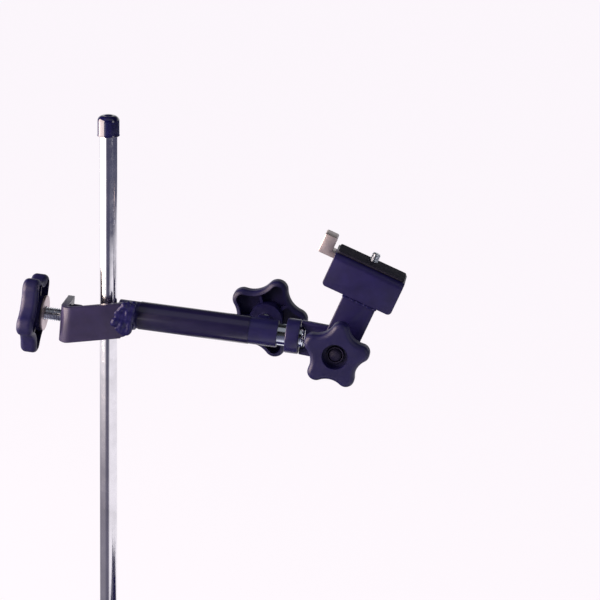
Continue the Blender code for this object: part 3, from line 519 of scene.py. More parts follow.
def grain(made, scale, detail, stretch=(1, 1, 1), tilt=0.0, distortion=0.0):
    """Noise in the object's own coordinates, stretched along its local axes."""
    links = made.node_tree.links
    place = new_node(made, "TexCoord")
    mapping = new_node(made, "Mapping")
    mapping.inputs["Rotation"].default_value = (0, tilt, 0)
    mapping.inputs["Scale"].default_value = stretch
    mottle = new_node(made, "TexNoise")
    mottle.inputs["Scale"].default_value = scale
    mottle.inputs["Detail"].default_value = detail
    mottle.inputs["Roughness"].default_value = 0.55
    mottle.inputs["Distortion"].default_value = distortion
    links.new(place.outputs["Object"], mapping.inputs["Vector"])
    links.new(mapping.outputs["Vector"], mottle.inputs["Vector"])
    return mottle.outputs["Fac"]


def ramp(made, value, start, end, low=0.0, high=1.0, kind="LINEAR"):
    """value mapped from start..end to low..high."""
    node = new_node(made, "MapRange")
    node.interpolation_type = kind
    for name, number in (("From Min", start), ("From Max", end), ("To Min", low), ("To Max", high)):
        node.inputs[name].default_value = number
    made.node_tree.links.new(value, node.inputs["Value"])
    return node.outputs["Result"]


def spread(made, value, low, high):
    """The middle range of a noise spread over low..high."""
    return ramp(made, value, 0.3, 0.7, low, high)


def math_node(made, operation, first, second=0.0):
    node = new_node(made, "Math")
    node.operation = operation
    for socket, value in zip(node.inputs, (first, second)):
        if isinstance(value, (int, float)):
            socket.default_value = value
        else:
            made.node_tree.links.new(value, socket)
    return node.outputs["Value"]


def blend_color(made, factor, first, second):
    node = new_node(made, "Mix")
    node.data_type = "RGBA"
    node.inputs["A"].default_value = (*first, 1.0)
    node.inputs["B"].default_value = (*second, 1.0)
    made.node_tree.links.new(factor, node.inputs["Factor"])
    return node.outputs["Result"]


def set_input(made, socket, value):
    made.node_tree.links.new(value, made.node_tree.nodes["Principled BSDF"].inputs[socket])


def vary_color(made, scale, detail, first, second, start=0.3, end=0.7, distortion=0.0):
    factor = ramp(made, grain(made, scale, detail, distortion=distortion), start, end)
    set_input(made, "Base Color", blend_color(made, factor, first, second))


def vary_roughness(made, scale, detail, low, high):
    set_input(made, "Roughness", spread(made, grain(made, scale, detail), low, high))


def bump(made, *layers):
    """Layers of (height value, distance in metres, strength) on the surface normal."""
    links = made.node_tree.links
    normal = None
    for height, distance, strength in layers:
        node = new_node(made, "Bump")
        node.inputs["Distance"].default_value = distance
        node.inputs["Strength"].default_value = strength
        links.new(height, node.inputs["Height"])
        if normal:
            links.new(normal, node.inputs["Normal"])
        normal = node.outputs["Normal"]
    set_input(made, "Normal", normal)


def powder_coat(name, roughness, shine, color=COAT_BLACK, peel=0.35):
    """Satin black powder coat: orange peel, fine grit and a breath of dust."""
    made = surface(name, color, roughness, coat=shine, coat_roughness=0.2, specular=shine)
    vary_color(made, 90, 4, color, tuple(c * 1.5 + 0.0012 for c in color))
    vary_roughness(made, 240, 5, roughness - 0.05, roughness + 0.08)
    bump(made, (grain(made, 620, 2), 0.00012, peel), (grain(made, 2600, 2), 0.00003, 0.35))
    return made


def zinc_plate(name, roughness, color, stretch=(1, 1, 1), tilt=0.0):
    """Bright zinc with drawn lines along its stock and faint clouding."""
    made = surface(name, color, roughness, metallic=1.0)
    vary_color(made, 46, 5, color, tuple(c * 0.8 for c in color), distortion=0.4)
    lines = grain(made, 900, 3, stretch, tilt)
    drawn = spread(made, lines, -0.03, 0.05)
    handled = spread(made, grain(made, 130, 5), roughness - 0.03, roughness + 0.07)
    set_input(made, "Roughness", math_node(made, "ADD", drawn, handled))
    bump(made, (lines, 0.00002, 0.25), (grain(made, 300, 3), 0.00005, 0.12))
    return made


def moulded_plastic(name, color, roughness):
    """Black moulded plastic with a fine spark texture and faint flow marks."""
    made = surface(name, color, roughness, specular=0.44)
    vary_color(made, 70, 4, color, tuple(c * 1.4 for c in color))
    vary_roughness(made, 420, 4, roughness - 0.05, roughness + 0.09)
    bump(made, (grain(made, 1500, 3), 0.00004, 0.5), (grain(made, 160, 3, distortion=0.6), 0.00012, 0.12))
    return made


def rubber_sheet(name):
    """Fine-grained black rubber with pale dust in its pores."""
    made = surface(name, (0.009, 0.008, 0.024), 0.78, specular=0.25)
    vary_color(made, 800, 4, (0.008, 0.007, 0.022), (0.024, 0.022, 0.036), start=0.45, end=0.75)
    vary_roughness(made, 300, 4, 0.68, 0.9)
    bump(made, (grain(made, 1100, 4), 0.0001, 0.6), (grain(made, 3200, 2), 0.00004, 0.4))
    return made


def glossy_film(name):
    """Clear-coated black film, with slight waviness from the tube beneath."""
    made = surface(name, (0.008, 0.006, 0.045), 0.3, coat=0.9, coat_roughness=0.1, specular=0.4)
    vary_color(made, 60, 4, (0.005, 0.004, 0.032), (0.009, 0.007, 0.042))
    vary_roughness(made, 500, 4, 0.28, 0.4)
    bump(made, (grain(made, 190, 2), 0.00008, 0.12), (grain(made, 2400, 2), 0.00001, 0.2))
    return made


def dipped_vinyl(name):
    """Glossy dipped vinyl with soft sags and scuffs."""
    made = surface(name, (0.005, 0.004, 0.05), 0.14, coat=1.0, coat_roughness=0.06, specular=0.4)
    vary_color(made, 120, 4, (0.004, 0.003, 0.042), (0.008, 0.007, 0.058))
    vary_roughness(made, 380, 5, 0.1, 0.24)
    bump(made, (grain(made, 150, 2), 0.00022, 0.2), (grain(made, 1900, 3), 0.00002, 0.3))
    return made


def turned_brass(name):
    """Brass with fine tool marks, tarnished in patches."""
    made = surface(name, (0.72, 0.52, 0.24), 0.28, metallic=1.0)
    vary_color(made, 300, 5, (0.74, 0.55, 0.26), (0.5, 0.34, 0.15))
    vary_roughness(made, 900, 4, 0.22, 0.42)
    bump(made, (grain(made, 1400, 3), 0.00002, 0.4))
    return made


def black_oxide(name):
    """Dark oiled steel, a little worn."""
    made = surface(name, (0.008, 0.007, 0.030), 0.6, specular=0.2)
    vary_color(made, 260, 4, (0.006, 0.005, 0.028), (0.018, 0.016, 0.040), start=0.35, end=0.75)
    vary_roughness(made, 800, 4, 0.5, 0.7)
    bump(made, (grain(made, 1300, 3), 0.00002, 0.4))
    return made


def nylon_sheet(name):
    """Natural nylon, slightly blotchy."""
    made = surface(name, (0.72, 0.70, 0.64), 0.5, specular=0.4)
    vary_color(made, 200, 4, (0.74, 0.72, 0.66), (0.62, 0.59, 0.53))
    vary_roughness(made, 700, 4, 0.42, 0.6)
    bump(made, (grain(made, 1500, 3), 0.00003, 0.4))
    return made


look_plate = powder_coat("powder_plate", 0.42, 0.2, peel=0.5)
# A lighter colour than the rest of the powder coat: painted light for the light on the strap's front and
# bend, carried over to its nut.
look_strap_lit = powder_coat("powder_strap_lit", 0.50, 0.38, (0.015, 0.011, 0.048))
# A darker copy of the powder coat with less shine: painted shade for the bracket, tilt plate and platform,
# standing in for the shadow of a camera seated on the platform, which is not built here.
look_bracket_shaded = powder_coat("powder_bracket_shaded", 0.45, 0.27, (0.0060, 0.0042, 0.046))
look_tube = powder_coat("powder_tube", 0.45, 0.42)
look_weld = powder_coat("powder_weld", 0.42, 0.22, peel=0.5)
look_rod = zinc_plate("zinc_rod", 0.11, (0.88, 0.88, 0.92), stretch=(1, 1, DRAWN))
look_extension = zinc_plate("zinc_extension", 0.15, (0.80, 0.87, 1.0), stretch=(DRAWN, 1, 1),
                            tilt=ARM_DROOP)
look_hardware = zinc_plate("zinc_hardware", 0.22, (0.84, 0.90, 1.0))
look_stop = zinc_plate("zinc_stop", 0.42, (0.74, 0.66, 0.68))
look_disc = zinc_plate("zinc_disc", 0.38, (0.64, 0.54, 0.56))
look_knob = moulded_plastic("knob_plastic", (0.0045, 0.0035, 0.044), 0.44)
look_cap = dipped_vinyl("cap_vinyl")
look_rubber = rubber_sheet("rubber_sheet")
look_label = glossy_film("label_film")
look_brass = turned_brass("turned_brass")
look_nylon = nylon_sheet("nylon_washer")
look_dark_steel = black_oxide("black_steel")


def piece(name, mesh, place, body, look, slot, *nodes, sharp=35):
    """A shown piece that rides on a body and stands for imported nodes."""
    obj = linked(name, moved(mesh, place))
    mesh.materials.clear()
    mesh.materials.append(look)
    mesh.shade_smooth()
    mesh.set_sharp_from_angle(angle=radians(sharp))
    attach(obj, body)
    if nodes:
        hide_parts(*nodes)


def make_base():
    outline = rounded_rectangle(BASE_LENGTH, BASE_WIDTH, BASE_CORNER_RADIUS, 16)
    shape = plate("base_plate_shape", outline, base_bottom, base_top, BASE_EASE, 4)
    foot = drill("foot_hole", SCREW_RADIUS + SEAT_GAP, -THROUGH, base_top + THROUGH)
    below = -0.001
    sink = turned("foot_sink", [(0, FOOT_SINK_HEIGHT), (SCREW_RADIUS, FOOT_SINK_HEIGHT),
                                (FOOT_SINK_RADIUS, base_bottom + 0.0005), (FOOT_SINK_RADIUS, below),
                                (0, below)], 64)
    shape = cut(shape, moved(foot, rod_place), moved(sink, rod_place))
    piece("base_plate_coated", shape, Matrix(), "base", look_plate, "powder_coat", "base_plate")


def make_rod():
    chamfer = 0.0006
    shape = turned("rod_shape", eased([(0, rod_top), (ROD_RADIUS - chamfer, rod_top),
                                       (ROD_RADIUS, rod_top - chamfer), (ROD_RADIUS, rod_bottom + chamfer),
                                       (ROD_RADIUS - chamfer, rod_bottom), (0, rod_bottom)], FINE_EASE))
    piece("rod_plated", shape, rod_place, "post", look_rod, "zinc", "rod")
    inner = ROD_RADIUS + SEAT_GAP
    outer = inner + CAP_WALL
    roof = rod_top + SEAT_GAP + CAP_WALL
    nub = [(CAP_NUB_RADIUS * x, roof + CAP_NUB_HEIGHT * z) for z, x in arc((0, 0), 1, 0, pi / 2, 8)]
    shoulder = arc((outer - CAP_SHOULDER, roof - CAP_SHOULDER), CAP_SHOULDER, pi / 2, 0, 12)
    low = roof - CAP_LENGTH
    lip_height, lip_flare = 0.0012, 0.0003
    skirt = eased([(outer, low + 0.004), (outer, low + lip_height), (outer + lip_flare, low), (inner, low),
                   (inner, rod_top + SEAT_GAP), (0, rod_top + SEAT_GAP)], CAP_EASE)
    cap = turned("cap_shape", nub + shoulder + skirt)
    piece("rod_cap_dipped", cap, rod_place, "post", look_cap, "vinyl", "rod_cap", sharp=60)


def strap_face(x):
    """Y of the strap's front face at a place along the arm."""
    slant = (strap_end_y - STRAP_FRONT_Y) / (STRAP_END_X - STRAP_WEB_X)
    return STRAP_FRONT_Y + slant * (x - STRAP_WEB_X)


def corner_nick(name, centre, radius, side, steps):
    """What rounds off a bar's lower corner, left (side -1) or right (side 1) of the arc's centre."""
    x, z = centre
    rim = arc(centre, radius, -pi / 2, 0 if side > 0 else -pi, steps)
    outer = x + side * (radius + NICK_REACH)
    low = z - radius - NICK_REACH
    return plate(name, rim + [(outer, z), (outer, low), (x, low)], -NICK_DEPTH, NICK_DEPTH)


def make_strap():
    half = BAR_THICKNESS / 2
    middle_x = STRAP_WEB_X + half
    path = bent_path((middle_x, STRAP_BACK_Y), (middle_x, STRAP_FRONT_Y + half),
                     (STRAP_END_X, strap_end_y + half), STRAP_BEND_RADIUS)
    shape = plate("strap_shape", strip_outline(path, BAR_THICKNESS), -STRAP_WIDTH / 2, STRAP_WIDTH / 2)
    climb_from = STRAP_WEB_X + STRAP_BEND_RADIUS
    for vertex in shape.vertices:
        vertex.co.z += STRAP_RISE * max(0.0, vertex.co.x - climb_from) - CLAMP_SCREW_DROP
    low = -STRAP_WIDTH / 2 - CLAMP_SCREW_DROP + STRAP_RISE * (STRAP_END_X - climb_from)
    centre = (STRAP_END_X - STRAP_CORNER_RADIUS, low + STRAP_CORNER_RADIUS)
    nick = corner_nick("strap_nick", centre, STRAP_CORNER_RADIUS, 1, 12)
    moved(nick, shift(0, strap_end_y + half, 0) @ FRONT)
    hole = drill("strap_hole", screw_bore, -STRAP_WEB_X - THROUGH, -STRAP_WEB_X + THROUGH)
    moved(hole, shift(0, 0, -CLAMP_SCREW_DROP) @ LEFT)
    shape = softened(cut(shape, nick, hole), BAR_EDGE, 3)
    piece("clamp_strap_bar", shape, arm_place, "clamp", look_strap_lit, "powder_coat", "clamp_strap")
    low_face = -STRAP_WEB_X - BAR_THICKNESS - SEAT_GAP
    nut = hexagon("clamp_nut_shape", CLAMP_NUT_ACROSS_FLATS, low_face - NUT_THICKNESS, low_face, screw_bore)
    place = arm_place @ shift(0, 0, -CLAMP_SCREW_DROP) @ LEFT
    piece("clamp_nut_hex", nut, place, "clamp", look_strap_lit, "powder_coat", "clamp_nut")


def make_clamp_welds():
    """Molten metal over the strap's end and round the tube beside it."""
    beside = STRAP_END_X + SEAT_GAP
    lean = 0.0012  # how far each run leans toward the head at its top
    sunk = BEAD_RADIUS * 0.55
    paths = []  # each run: how far back of the strap's end, its top and its foot
    for back, high, low in ((0.0, 0.0106, -0.0098), (0.0028, 0.0112, -0.0100), (0.0056, 0.0108, -0.0092),
                            (0.0084, 0.0084, -0.0070), (0.0106, 0.0046, -0.0030)):
        x = beside - back
        y = strap_face(min(x, STRAP_END_X)) - SEAT_GAP + sunk
        paths.append([(x + lean * z / high, y, z) for z in (low, 0, high)])
    mass = weld_bead("strap_bead", paths, BEAD_RADIUS * 1.15, 7, 0.42)
    piece("strap_weld_bead", mass, arm_place, "clamp", look_weld, "powder_coat", "strap_weld", sharp=180)
    paths = []
    for step, lift in ((0.2, 0.1), (0.55, -0.25)):
        rim = arc((0, 0), TUBE_RADIUS + BEAD_RADIUS * lift, radians(-165), radians(-15), 24)
        paths.append([(beside + BEAD_RADIUS * step, y, z) for z, y in rim])
    mass = weld_bead("tube_bead", paths, BEAD_RADIUS * 0.75, 5, 0.35)
    piece("tube_weld_bead", mass, arm_place, "clamp", look_weld, "powder_coat", "tube_weld", sharp=180)


def lobed_knob(name, radius, start, hub_radius, standout, recess=False):
    """A star knob. Z = 0 is the face of its hub, and the knob stands above it."""
    top = standout + KNOB_THICKNESS
    depth = KNOB_THICKNESS - KNOB_TOP
    inside = top - KNOB_TOP / 2
    body = pillow(name, lobed_outline(radius, start), KNOB_THICKNESS, KNOB_EDGE)
    moved(body, shift(0, 0, standout + KNOB_THICKNESS / 2))
    inner = lobed_outline(radius, start, KNOB_WALL)
    hollow = plate(name + "_hollow", inner, standout - depth, standout + depth)
    body = cut(body, hollow)
    additions = [drill(name + "_hub", hub_radius, 0, inside)]
    rib_start = hub_radius / 2
    rib_end = radius * VALLEY_SHARE - KNOB_WALL / 2
    side = RIB_THICKNESS / 2
    for lobe in range(LOBES):
        angle = start + (lobe + 0.5) * 2 * pi / LOBES
        outline = [(rib_start, -side), (rib_end, -side), (rib_end, side), (rib_start, side)]
        rib = plate("%s_rib_%d" % (name, lobe + 1), outline, standout + KNOB_EDGE / 2, inside)
        additions.append(moved(rib, turn(angle, "Z")))
    body = combined(body, "UNION", *additions)
    if recess:
        cuts = [drill(name + "_bore", INSERT_RADIUS + SEAT_GAP, -THROUGH, top + THROUGH),
                drill(name + "_recess", RECESS_RADIUS, top - RECESS_DEPTH, top + THROUGH, 96)]
    else:
        cuts = [drill(name + "_bore", SCREW_RADIUS + SEAT_GAP, -THROUGH, top - KNOB_TOP)]
    return softened(cut(body, *cuts), KNOB_EASE)


def knob_on_screw(name, seat, tip, radius, start, standout):
    """A knob and its threaded screw, whose tip is measured from the knob's seat."""
    knob = lobed_knob(name + "_knob_shape", radius, start, HUB_RADIUS, standout)
    piece(name + "_knob_moulded", knob, seat, name + "_knob", look_knob, "knob_plastic", name + "_knob")
    held = standout + KNOB_THICKNESS - KNOB_TOP - SEAT_GAP
    screw = threaded(name + "_screw_shape", SCREW_RADIUS, SCREW_PITCH, tip, held)
    piece(name + "_screw_threaded", screw, seat, name + "_knob", look_hardware, "zinc", name + "_screw",
          sharp=180)


def make_clamp_knob():
    washer = ring("clamp_washer_shape", CLAMP_WASHER_RADIUS, screw_bore, 0, CLAMP_WASHER_THICKNESS)
    piece("clamp_washer_plated", washer, clamp_screw_place, "clamp_screw_thrust", look_disc, "zinc",
          "clamp_washer")
    lift = CLAMP_WASHER_THICKNESS + SEAT_GAP
    tip = CLAMP_TIP_GAP - (CLAMP_KNOB_SEAT + lift - ROD_RADIUS)
    knob_on_screw("clamp", clamp_screw_place @ shift(0, 0, lift), tip, CLAMP_KNOB_RADIUS, CLAMP_KNOB_TURN,
                  CLAMP_HUB_STANDOUT)


def make_arm():
    length = TUBE_END - TUBE_START
    tube = ring("tube_shape", TUBE_RADIUS, EXTENSION_RADIUS + RUN_GAP, 0, length, SHEET_EASE, 96)
    hole = drill("lock_hole", screw_bore, 0, TUBE_RADIUS * 2)
    moved(hole, ALONG.inverted() @ shift(LOCK_X - TUBE_START, 0, 0) @ BACK)
    tube = cut(tube, hole)
    piece("arm_tube_coated", tube, arm_place @ shift(TUBE_START, 0, 0) @ ALONG, "clamp", look_tube,
          "powder_coat", "arm_tube")
    under = TUBE_RADIUS + LABEL_GAP
    length = LABEL_END - LABEL_START
    film = ring("label_shape", under + LABEL_THICKNESS, under, 0, length, LABEL_EASE, 96)
    piece("arm_label_film", film, arm_place @ shift(LABEL_START, 0, 0) @ ALONG, "clamp", look_label,
          "label_film", "arm_label")
    low = TUBE_RADIUS + SEAT_GAP
    high = low + NUT_THICKNESS
    nut = hexagon("lock_nut_shape", NUT_ACROSS_FLATS, low, high, screw_bore)
    piece("lock_nut_hex", nut, lock_place, "clamp", look_tube, "powder_coat", "lock_nut")
    seat = high + LOCK_KNOB_STANDOFF
    tip = EXTENSION_RADIUS + SEAT_GAP + LOCK_PAD_LENGTH + SEAT_GAP - seat
    knob_on_screw("lock", lock_place @ shift(0, 0, seat), tip, LOCK_KNOB_RADIUS, LOCK_KNOB_TURN,
                  LOCK_HUB_STANDOUT)


def make_extension():
    start = TUBE_END - EXTENSION_INSIDE
    length = collar_end + ROD_NOSE - start
    centre = (EXTENSION_RADIUS - ROD_NOSE_ROUND, length - ROD_NOSE_ROUND)
    nose = arc(centre, ROD_NOSE_ROUND, pi / 2, 0, 10)
    chamfer = 0.0008
    profile = [(0, length)] + nose + [(EXTENSION_RADIUS, chamfer), (EXTENSION_RADIUS - chamfer, 0), (0, 0)]
    piece("extension_rod_plated", turned("extension_shape", profile),
          arm_place @ shift(start, 0, 0) @ ALONG, "extension", look_extension, "zinc", "extension_rod")


def make_head():
    bore = EXTENSION_RADIUS + SEAT_GAP
    collar = ring("collar_shape", COLLAR_RADIUS, bore, 0, COLLAR_LENGTH, COLLAR_EASE, 96)
    piece("head_collar_coated", collar, head_place @ shift(-COLLAR_LENGTH, 0, 0) @ ALONG, "head", look_tube,
          "powder_coat", "head_collar")
    half = BAR_WIDTH / 2
    end = arc((BOLT_REACH, 0), half, pi / 2, -pi / 2, 36)
    edge = SEAT_GAP / cos(BRACKET_SKEW)
    slope = half * tan(BRACKET_SKEW)
    round_off = ROD_NOSE_ROUND + SEAT_GAP
    deep = ROD_NOSE + SEAT_GAP - round_off
    side = bore - round_off
    notch = [(SEAT_GAP, -side - round_off)] + arc((deep, -side), round_off, -pi / 2, 0, 12)
    notch += arc((deep, side), round_off, 0, pi / 2, 12) + [(SEAT_GAP, side + round_off)]
    to_bar = Matrix.Rotation(BRACKET_SKEW, 2)
    notch = [tuple(to_bar @ Vector(point)) for point in notch]
    outline = end + [(edge + slope, -half)] + notch + [(edge - slope, half)]
    bar = plate("bracket_shape", outline, -BAR_THICKNESS / 2, BAR_THICKNESS / 2)
    bore = SCREW_RADIUS + SEAT_GAP
    hole = moved(drill("bracket_hole", bore, -THROUGH, THROUGH), shift(BOLT_REACH, 0, 0))
    bar = softened(cut(bar, hole), BAR_EDGE, 3)
    piece("head_bracket_bar", bar, bar_place @ FRONT, "head", look_bracket_shaded, "powder_coat", "head_bracket")
    back = -BAR_THICKNESS / 2 - SEAT_GAP
    washer = ring("bolt_washer_shape", TILT_HUB_RADIUS, bore, back - WASHER_THICKNESS, back)
    piece("bolt_washer_plated", washer, bolt_place, "head", look_hardware, "zinc", "bolt_washer")
    head_seat = back - WASHER_THICKNESS - SEAT_GAP
    bolt_end = tilt_knob_seat + TILT_HUB_STANDOUT + KNOB_THICKNESS - RECESS_DEPTH + BOLT_STANDOUT
    inside = head_seat - BOLT_HEAD_HEIGHT / 2
    shank = threaded("bolt_shape", SCREW_RADIUS, SCREW_PITCH, inside, bolt_end)
    piece("tilt_bolt_shank", shank, bolt_place, "head", look_dark_steel, "black_steel", "tilt_bolt",
          sharp=180)
    head = hexagon("bolt_head_shape", NUT_ACROSS_FLATS, head_seat - BOLT_HEAD_HEIGHT, head_seat)
    piece("tilt_bolt_head", head, bolt_place, "head", look_dark_steel, "black_steel")


def make_tilt():
    half = BAR_WIDTH / 2
    top = FLANGE_LOW + ANGLE_LEG - ANGLE_THICKNESS - ANGLE_BEND_RADIUS / 2 - SEAT_GAP
    outline = arc((0, 0), half, -pi, 0, 40) + [(half, top), (-half, top)]
    shape = plate("tilt_plate_shape", outline, -BAR_THICKNESS / 2, BAR_THICKNESS / 2)
    hole = drill("plate_hole", screw_bore, -THROUGH, THROUGH)
    shape = softened(cut(shape, hole), BAR_EDGE, 3)
    place = tilt_place @ shift(0, -plate_back - BAR_THICKNESS / 2, 0) @ FRONT
    piece("tilt_plate_bar", shape, place, "platform", look_bracket_shaded, "powder_coat", "tilt_plate")
    weld_z = FLANGE_LOW - SEAT_GAP - PLATFORM_BEAD_RADIUS
    weld_y = -plate_front - SEAT_GAP - PLATFORM_BEAD_RADIUS
    run = [(-half, weld_y, weld_z), (half, weld_y, weld_z)]
    bead = weld_bead("platform_bead", [run], PLATFORM_BEAD_RADIUS, 9, 0.4)
    piece("platform_weld_bead", bead, tilt_place, "platform", look_weld, "powder_coat", "platform_weld",
          sharp=180)


def camera_screw_hole(name, low, high):
    return moved(drill(name, CAMERA_SCREW_RADIUS + RUN_GAP, low, high),
                 shift(CAMERA_SCREW_X, CAMERA_SCREW_Y, 0))


def make_platform():
    t = ANGLE_THICKNESS
    flange_y = -plate_front - SEAT_GAP - t / 2
    top_z = FLANGE_LOW + ANGLE_LEG
    far_y = flange_y - t / 2 + ANGLE_LEG
    half = PLATFORM_LENGTH / 2
    path = bent_path((FLANGE_LOW, flange_y), (top_z - t / 2, flange_y), (top_z - t / 2, far_y),
                     ANGLE_BEND_RADIUS, 10)
    shape = plate("angle_shape", strip_outline(path, t), -half, half)
    middle_x = PLATFORM_LEFT + half
    on_end = Matrix(((0, 0, -1, 0), (0, 1, 0, 0), (1, 0, 0, 0), (0, 0, 0, 1)))
    moved(moved(shape, on_end), shift(middle_x, 0, 0))
    corners = []
    for side in (-1, 1):
        centre = (side * (half - PLATFORM_CORNER), FLANGE_LOW + PLATFORM_CORNER)
        nick = corner_nick("angle_nick", centre, PLATFORM_CORNER, side, 10)
        corners.append(moved(nick, shift(middle_x, flange_y, 0) @ FRONT))
    hole = camera_screw_hole("angle_hole", top_z - 2 * THROUGH, top_z + 2 * THROUGH)
    shape = softened(cut(shape, hole, *corners), SHEET_EASE, 3)
    piece("camera_platform_angle", shape, tilt_place, "platform", look_bracket_shaded, "powder_coat",
          "camera_platform")
    depth = ANGLE_LEG - ANGLE_BEND_RADIUS - 2 * PAD_MARGIN
    low = top_z + SEAT_GAP
    outline = rounded_rectangle(PLATFORM_LENGTH - 2 * PAD_MARGIN, depth, PAD_CORNER, 6)
    pad = plate("pad_shape", outline, low, low + PAD_SHEET, FINE_EASE)
    moved(pad, shift(middle_x, far_y - PAD_MARGIN - depth / 2, 0))
    pad = cut(pad, camera_screw_hole("pad_hole", 0, 0.1))
    piece("camera_pad_rubber", pad, tilt_place, "platform", look_rubber, "rubber", "camera_pad")
    make_stop(top_z - t - SEAT_GAP, top_z)
    make_camera_screw(top_z - t - SEAT_GAP - STOP_THICKNESS - SEAT_GAP, low + PAD_SHEET)


def make_stop(under, top_z):
    outer_x = CAMERA_SCREW_X - STOP_REACH
    right_x = CAMERA_SCREW_X + CAMERA_SCREW_RADIUS * 2.6
    inner_x = outer_x + STOP_BLOCK
    low = under - STOP_THICKNESS
    high = top_z + STOP_HEIGHT
    outline = [(right_x, low), (right_x, under), (inner_x, under)]
    for x, z, start in ((inner_x - STOP_CORNER, high - STOP_CORNER, 0),
                        (outer_x + STOP_CORNER, high - STOP_CORNER, 90),
                        (outer_x + STOP_CORNER, low + STOP_CORNER, 180)):
        outline += arc((x, z), STOP_CORNER, radians(start), radians(start + 90), 10)
    shape = plate("stop_shape", outline, -STOP_WIDTH / 2, STOP_WIDTH / 2)
    moved(shape, shift(0, CAMERA_SCREW_Y, 0) @ FRONT)
    hole = camera_screw_hole("stop_hole", under - 2 * THROUGH, under + THROUGH)
    shape = softened(cut(shape, hole), STOP_EASE, 3)
    piece("rear_stop_plated", shape, tilt_place, "platform", look_stop, "zinc", "rear_stop")


def make_camera_screw(seat, pad_top):
    place = tilt_place @ shift(CAMERA_SCREW_X, CAMERA_SCREW_Y, 0)
    head_top = seat - CAMERA_WASHER_THICKNESS - SEAT_GAP
    inside = head_top - 0.001
    tip = pad_top + CAMERA_SCREW_STANDOUT
    shank = threaded("camera_screw_shape", CAMERA_SCREW_RADIUS, CAMERA_SCREW_PITCH, inside, tip, 40)
    piece("camera_screw_thread", shank, place, "camera_screw", look_hardware, "zinc", "camera_screw",
          sharp=180)
    head = knurled("thumb_shape", THUMB_RADIUS, head_top - THUMB_LENGTH, head_top)
    piece("camera_screw_thumb", head, place, "camera_screw", look_hardware, "zinc")


def knurled(name, radius, low, high):
    """A thumb head with straight knurling and rounded rims."""
    teeth, depth = 40, 0.0004
    corners = eased([(0, high), (radius, high), (radius, low), (0, low)], THUMB_EASE, 4)
    mesh = turned(name, corners, teeth * 4)
    for vertex in mesh.vertices:
        x, y, _ = vertex.co
        r = hypot(x, y)
        if r > radius * 0.9:
            phase = (atan2(y, x) / (2 * pi) * teeth) % 1.0
            share = 1 - depth / radius * abs(2 * phase - 1) * (r / radius)
            vertex.co.x *= share
            vertex.co.y *= share
    return mesh


def make_tilt_knob():
    washer = ring("tilt_washer_shape", TILT_HUB_RADIUS, screw_bore, tilt_washer_back,
                  tilt_washer_back + WASHER_THICKNESS)
    piece("tilt_washer_plated", washer, bolt_place, "tilt_thrust", look_hardware, "zinc", "tilt_washer")
    seat = bolt_place @ shift(0, 0, tilt_knob_seat)
    knob = lobed_knob("tilt_knob_shape", TILT_KNOB_RADIUS, TILT_KNOB_TURN, TILT_HUB_RADIUS,
                      TILT_HUB_STANDOUT, recess=True)
    piece("tilt_knob_moulded", knob, seat, "tilt_knob", look_knob, "knob_plastic", "tilt_knob")
    insert = ring("insert_shape", INSERT_RADIUS, screw_bore, 0, INSERT_LENGTH, KNOB_EASE)
    piece("tilt_insert_turned", insert, seat, "tilt_knob", look_dark_steel, "black_steel", "tilt_insert")


def keep_node(name, look):
    """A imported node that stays, with a finer finish."""
    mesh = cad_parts[name].data
    mesh.materials.clear()
    mesh.materials.append(look)


make_base()
make_rod()
make_strap()
make_clamp_welds()
make_clamp_knob()
make_arm()
make_extension()
make_head()
make_tilt()
make_platform()
make_tilt_knob()
keep_node("base_pad", look_rubber)
keep_node("foot_screw", look_hardware)
keep_node("lock_pad", look_brass)
keep_node("friction_washer", look_nylon)
keep_node("camera_washer", look_nylon)


# Stage

PAPER_WHITE = (1.0, 0.950, 1.0)  # what the background is to the camera
PAPER_DARK = (0.075, 0.075, 0.13)  # what reflections see where the photographed room is dark
PAPER_SHARE = 0.96  # the rest takes the lamps and the stand's shadow
ROOM_DARK = 0.05


def either(made, rays, *kinds):
    """1 for a light path of any of the kinds."""
    seen = rays.outputs[kinds[0]]
    for kind in kinds[1:]:
        seen = math_node(made, "MAXIMUM", seen, rays.outputs[kind])
    return seen


def mix_shader(made, factor, first, second):
    node = new_node(made, "MixShader")
    for socket, value in zip(node.inputs, (factor, first, second)):
        made.node_tree.links.new(value, socket)
    return node.outputs["Shader"]


def split_axes(made, vector):
    node = new_node(made, "SeparateXYZ")
    made.node_tree.links.new(vector, node.inputs["Vector"])
    return node.outputs


def reflected_floor(made, rays):
    """How white the floor is: 1 to the camera; to reflections by its place round the rod.

    Toward the camera and far off to the right it is dark, and near the stand on the left half white.
    Angles are from the camera's side of the rod, distances from the rod.
    """
    def times(first, second):
        return math_node(made, "MULTIPLY", first, second)

    def less(first, second):
        return math_node(made, "SUBTRACT", first, second)

    def smooth(value, start, end, low=0.0, high=1.0):
        return ramp(made, value, start, end, low, high, "SMOOTHSTEP")

    place = new_node(made, "NewGeometry")
    axes = split_axes(made, place.outputs["Position"])
    x = less(axes["X"], ROD_X)
    y = times(axes["Y"], -1.0)
    angle = less(math_node(made, "ARCTAN2", x, y), VIEW_AZIMUTH)
    distance = math_node(made, "SQRT", math_node(made, "ADD", times(x, x), times(y, y)))
    centre = smooth(distance, 0.9, 1.4, radians(12), 0.0)
    off_centre = math_node(made, "ABSOLUTE", math_node(made, "ADD", angle, centre))
    front = smooth(off_centre, radians(14), radians(33))
    right_side = smooth(angle, radians(-10), radians(12))
    far = times(right_side, smooth(distance, 1.58, 1.85))
    near = times(less(1.0, right_side), smooth(distance, 0.35, 1.15, 0.9, 0.0))
    share = times(front, times(less(1.0, far), less(1.0, near)))
    return less(1.0, times(rays.outputs["Is Glossy Ray"], less(1.0, share)))


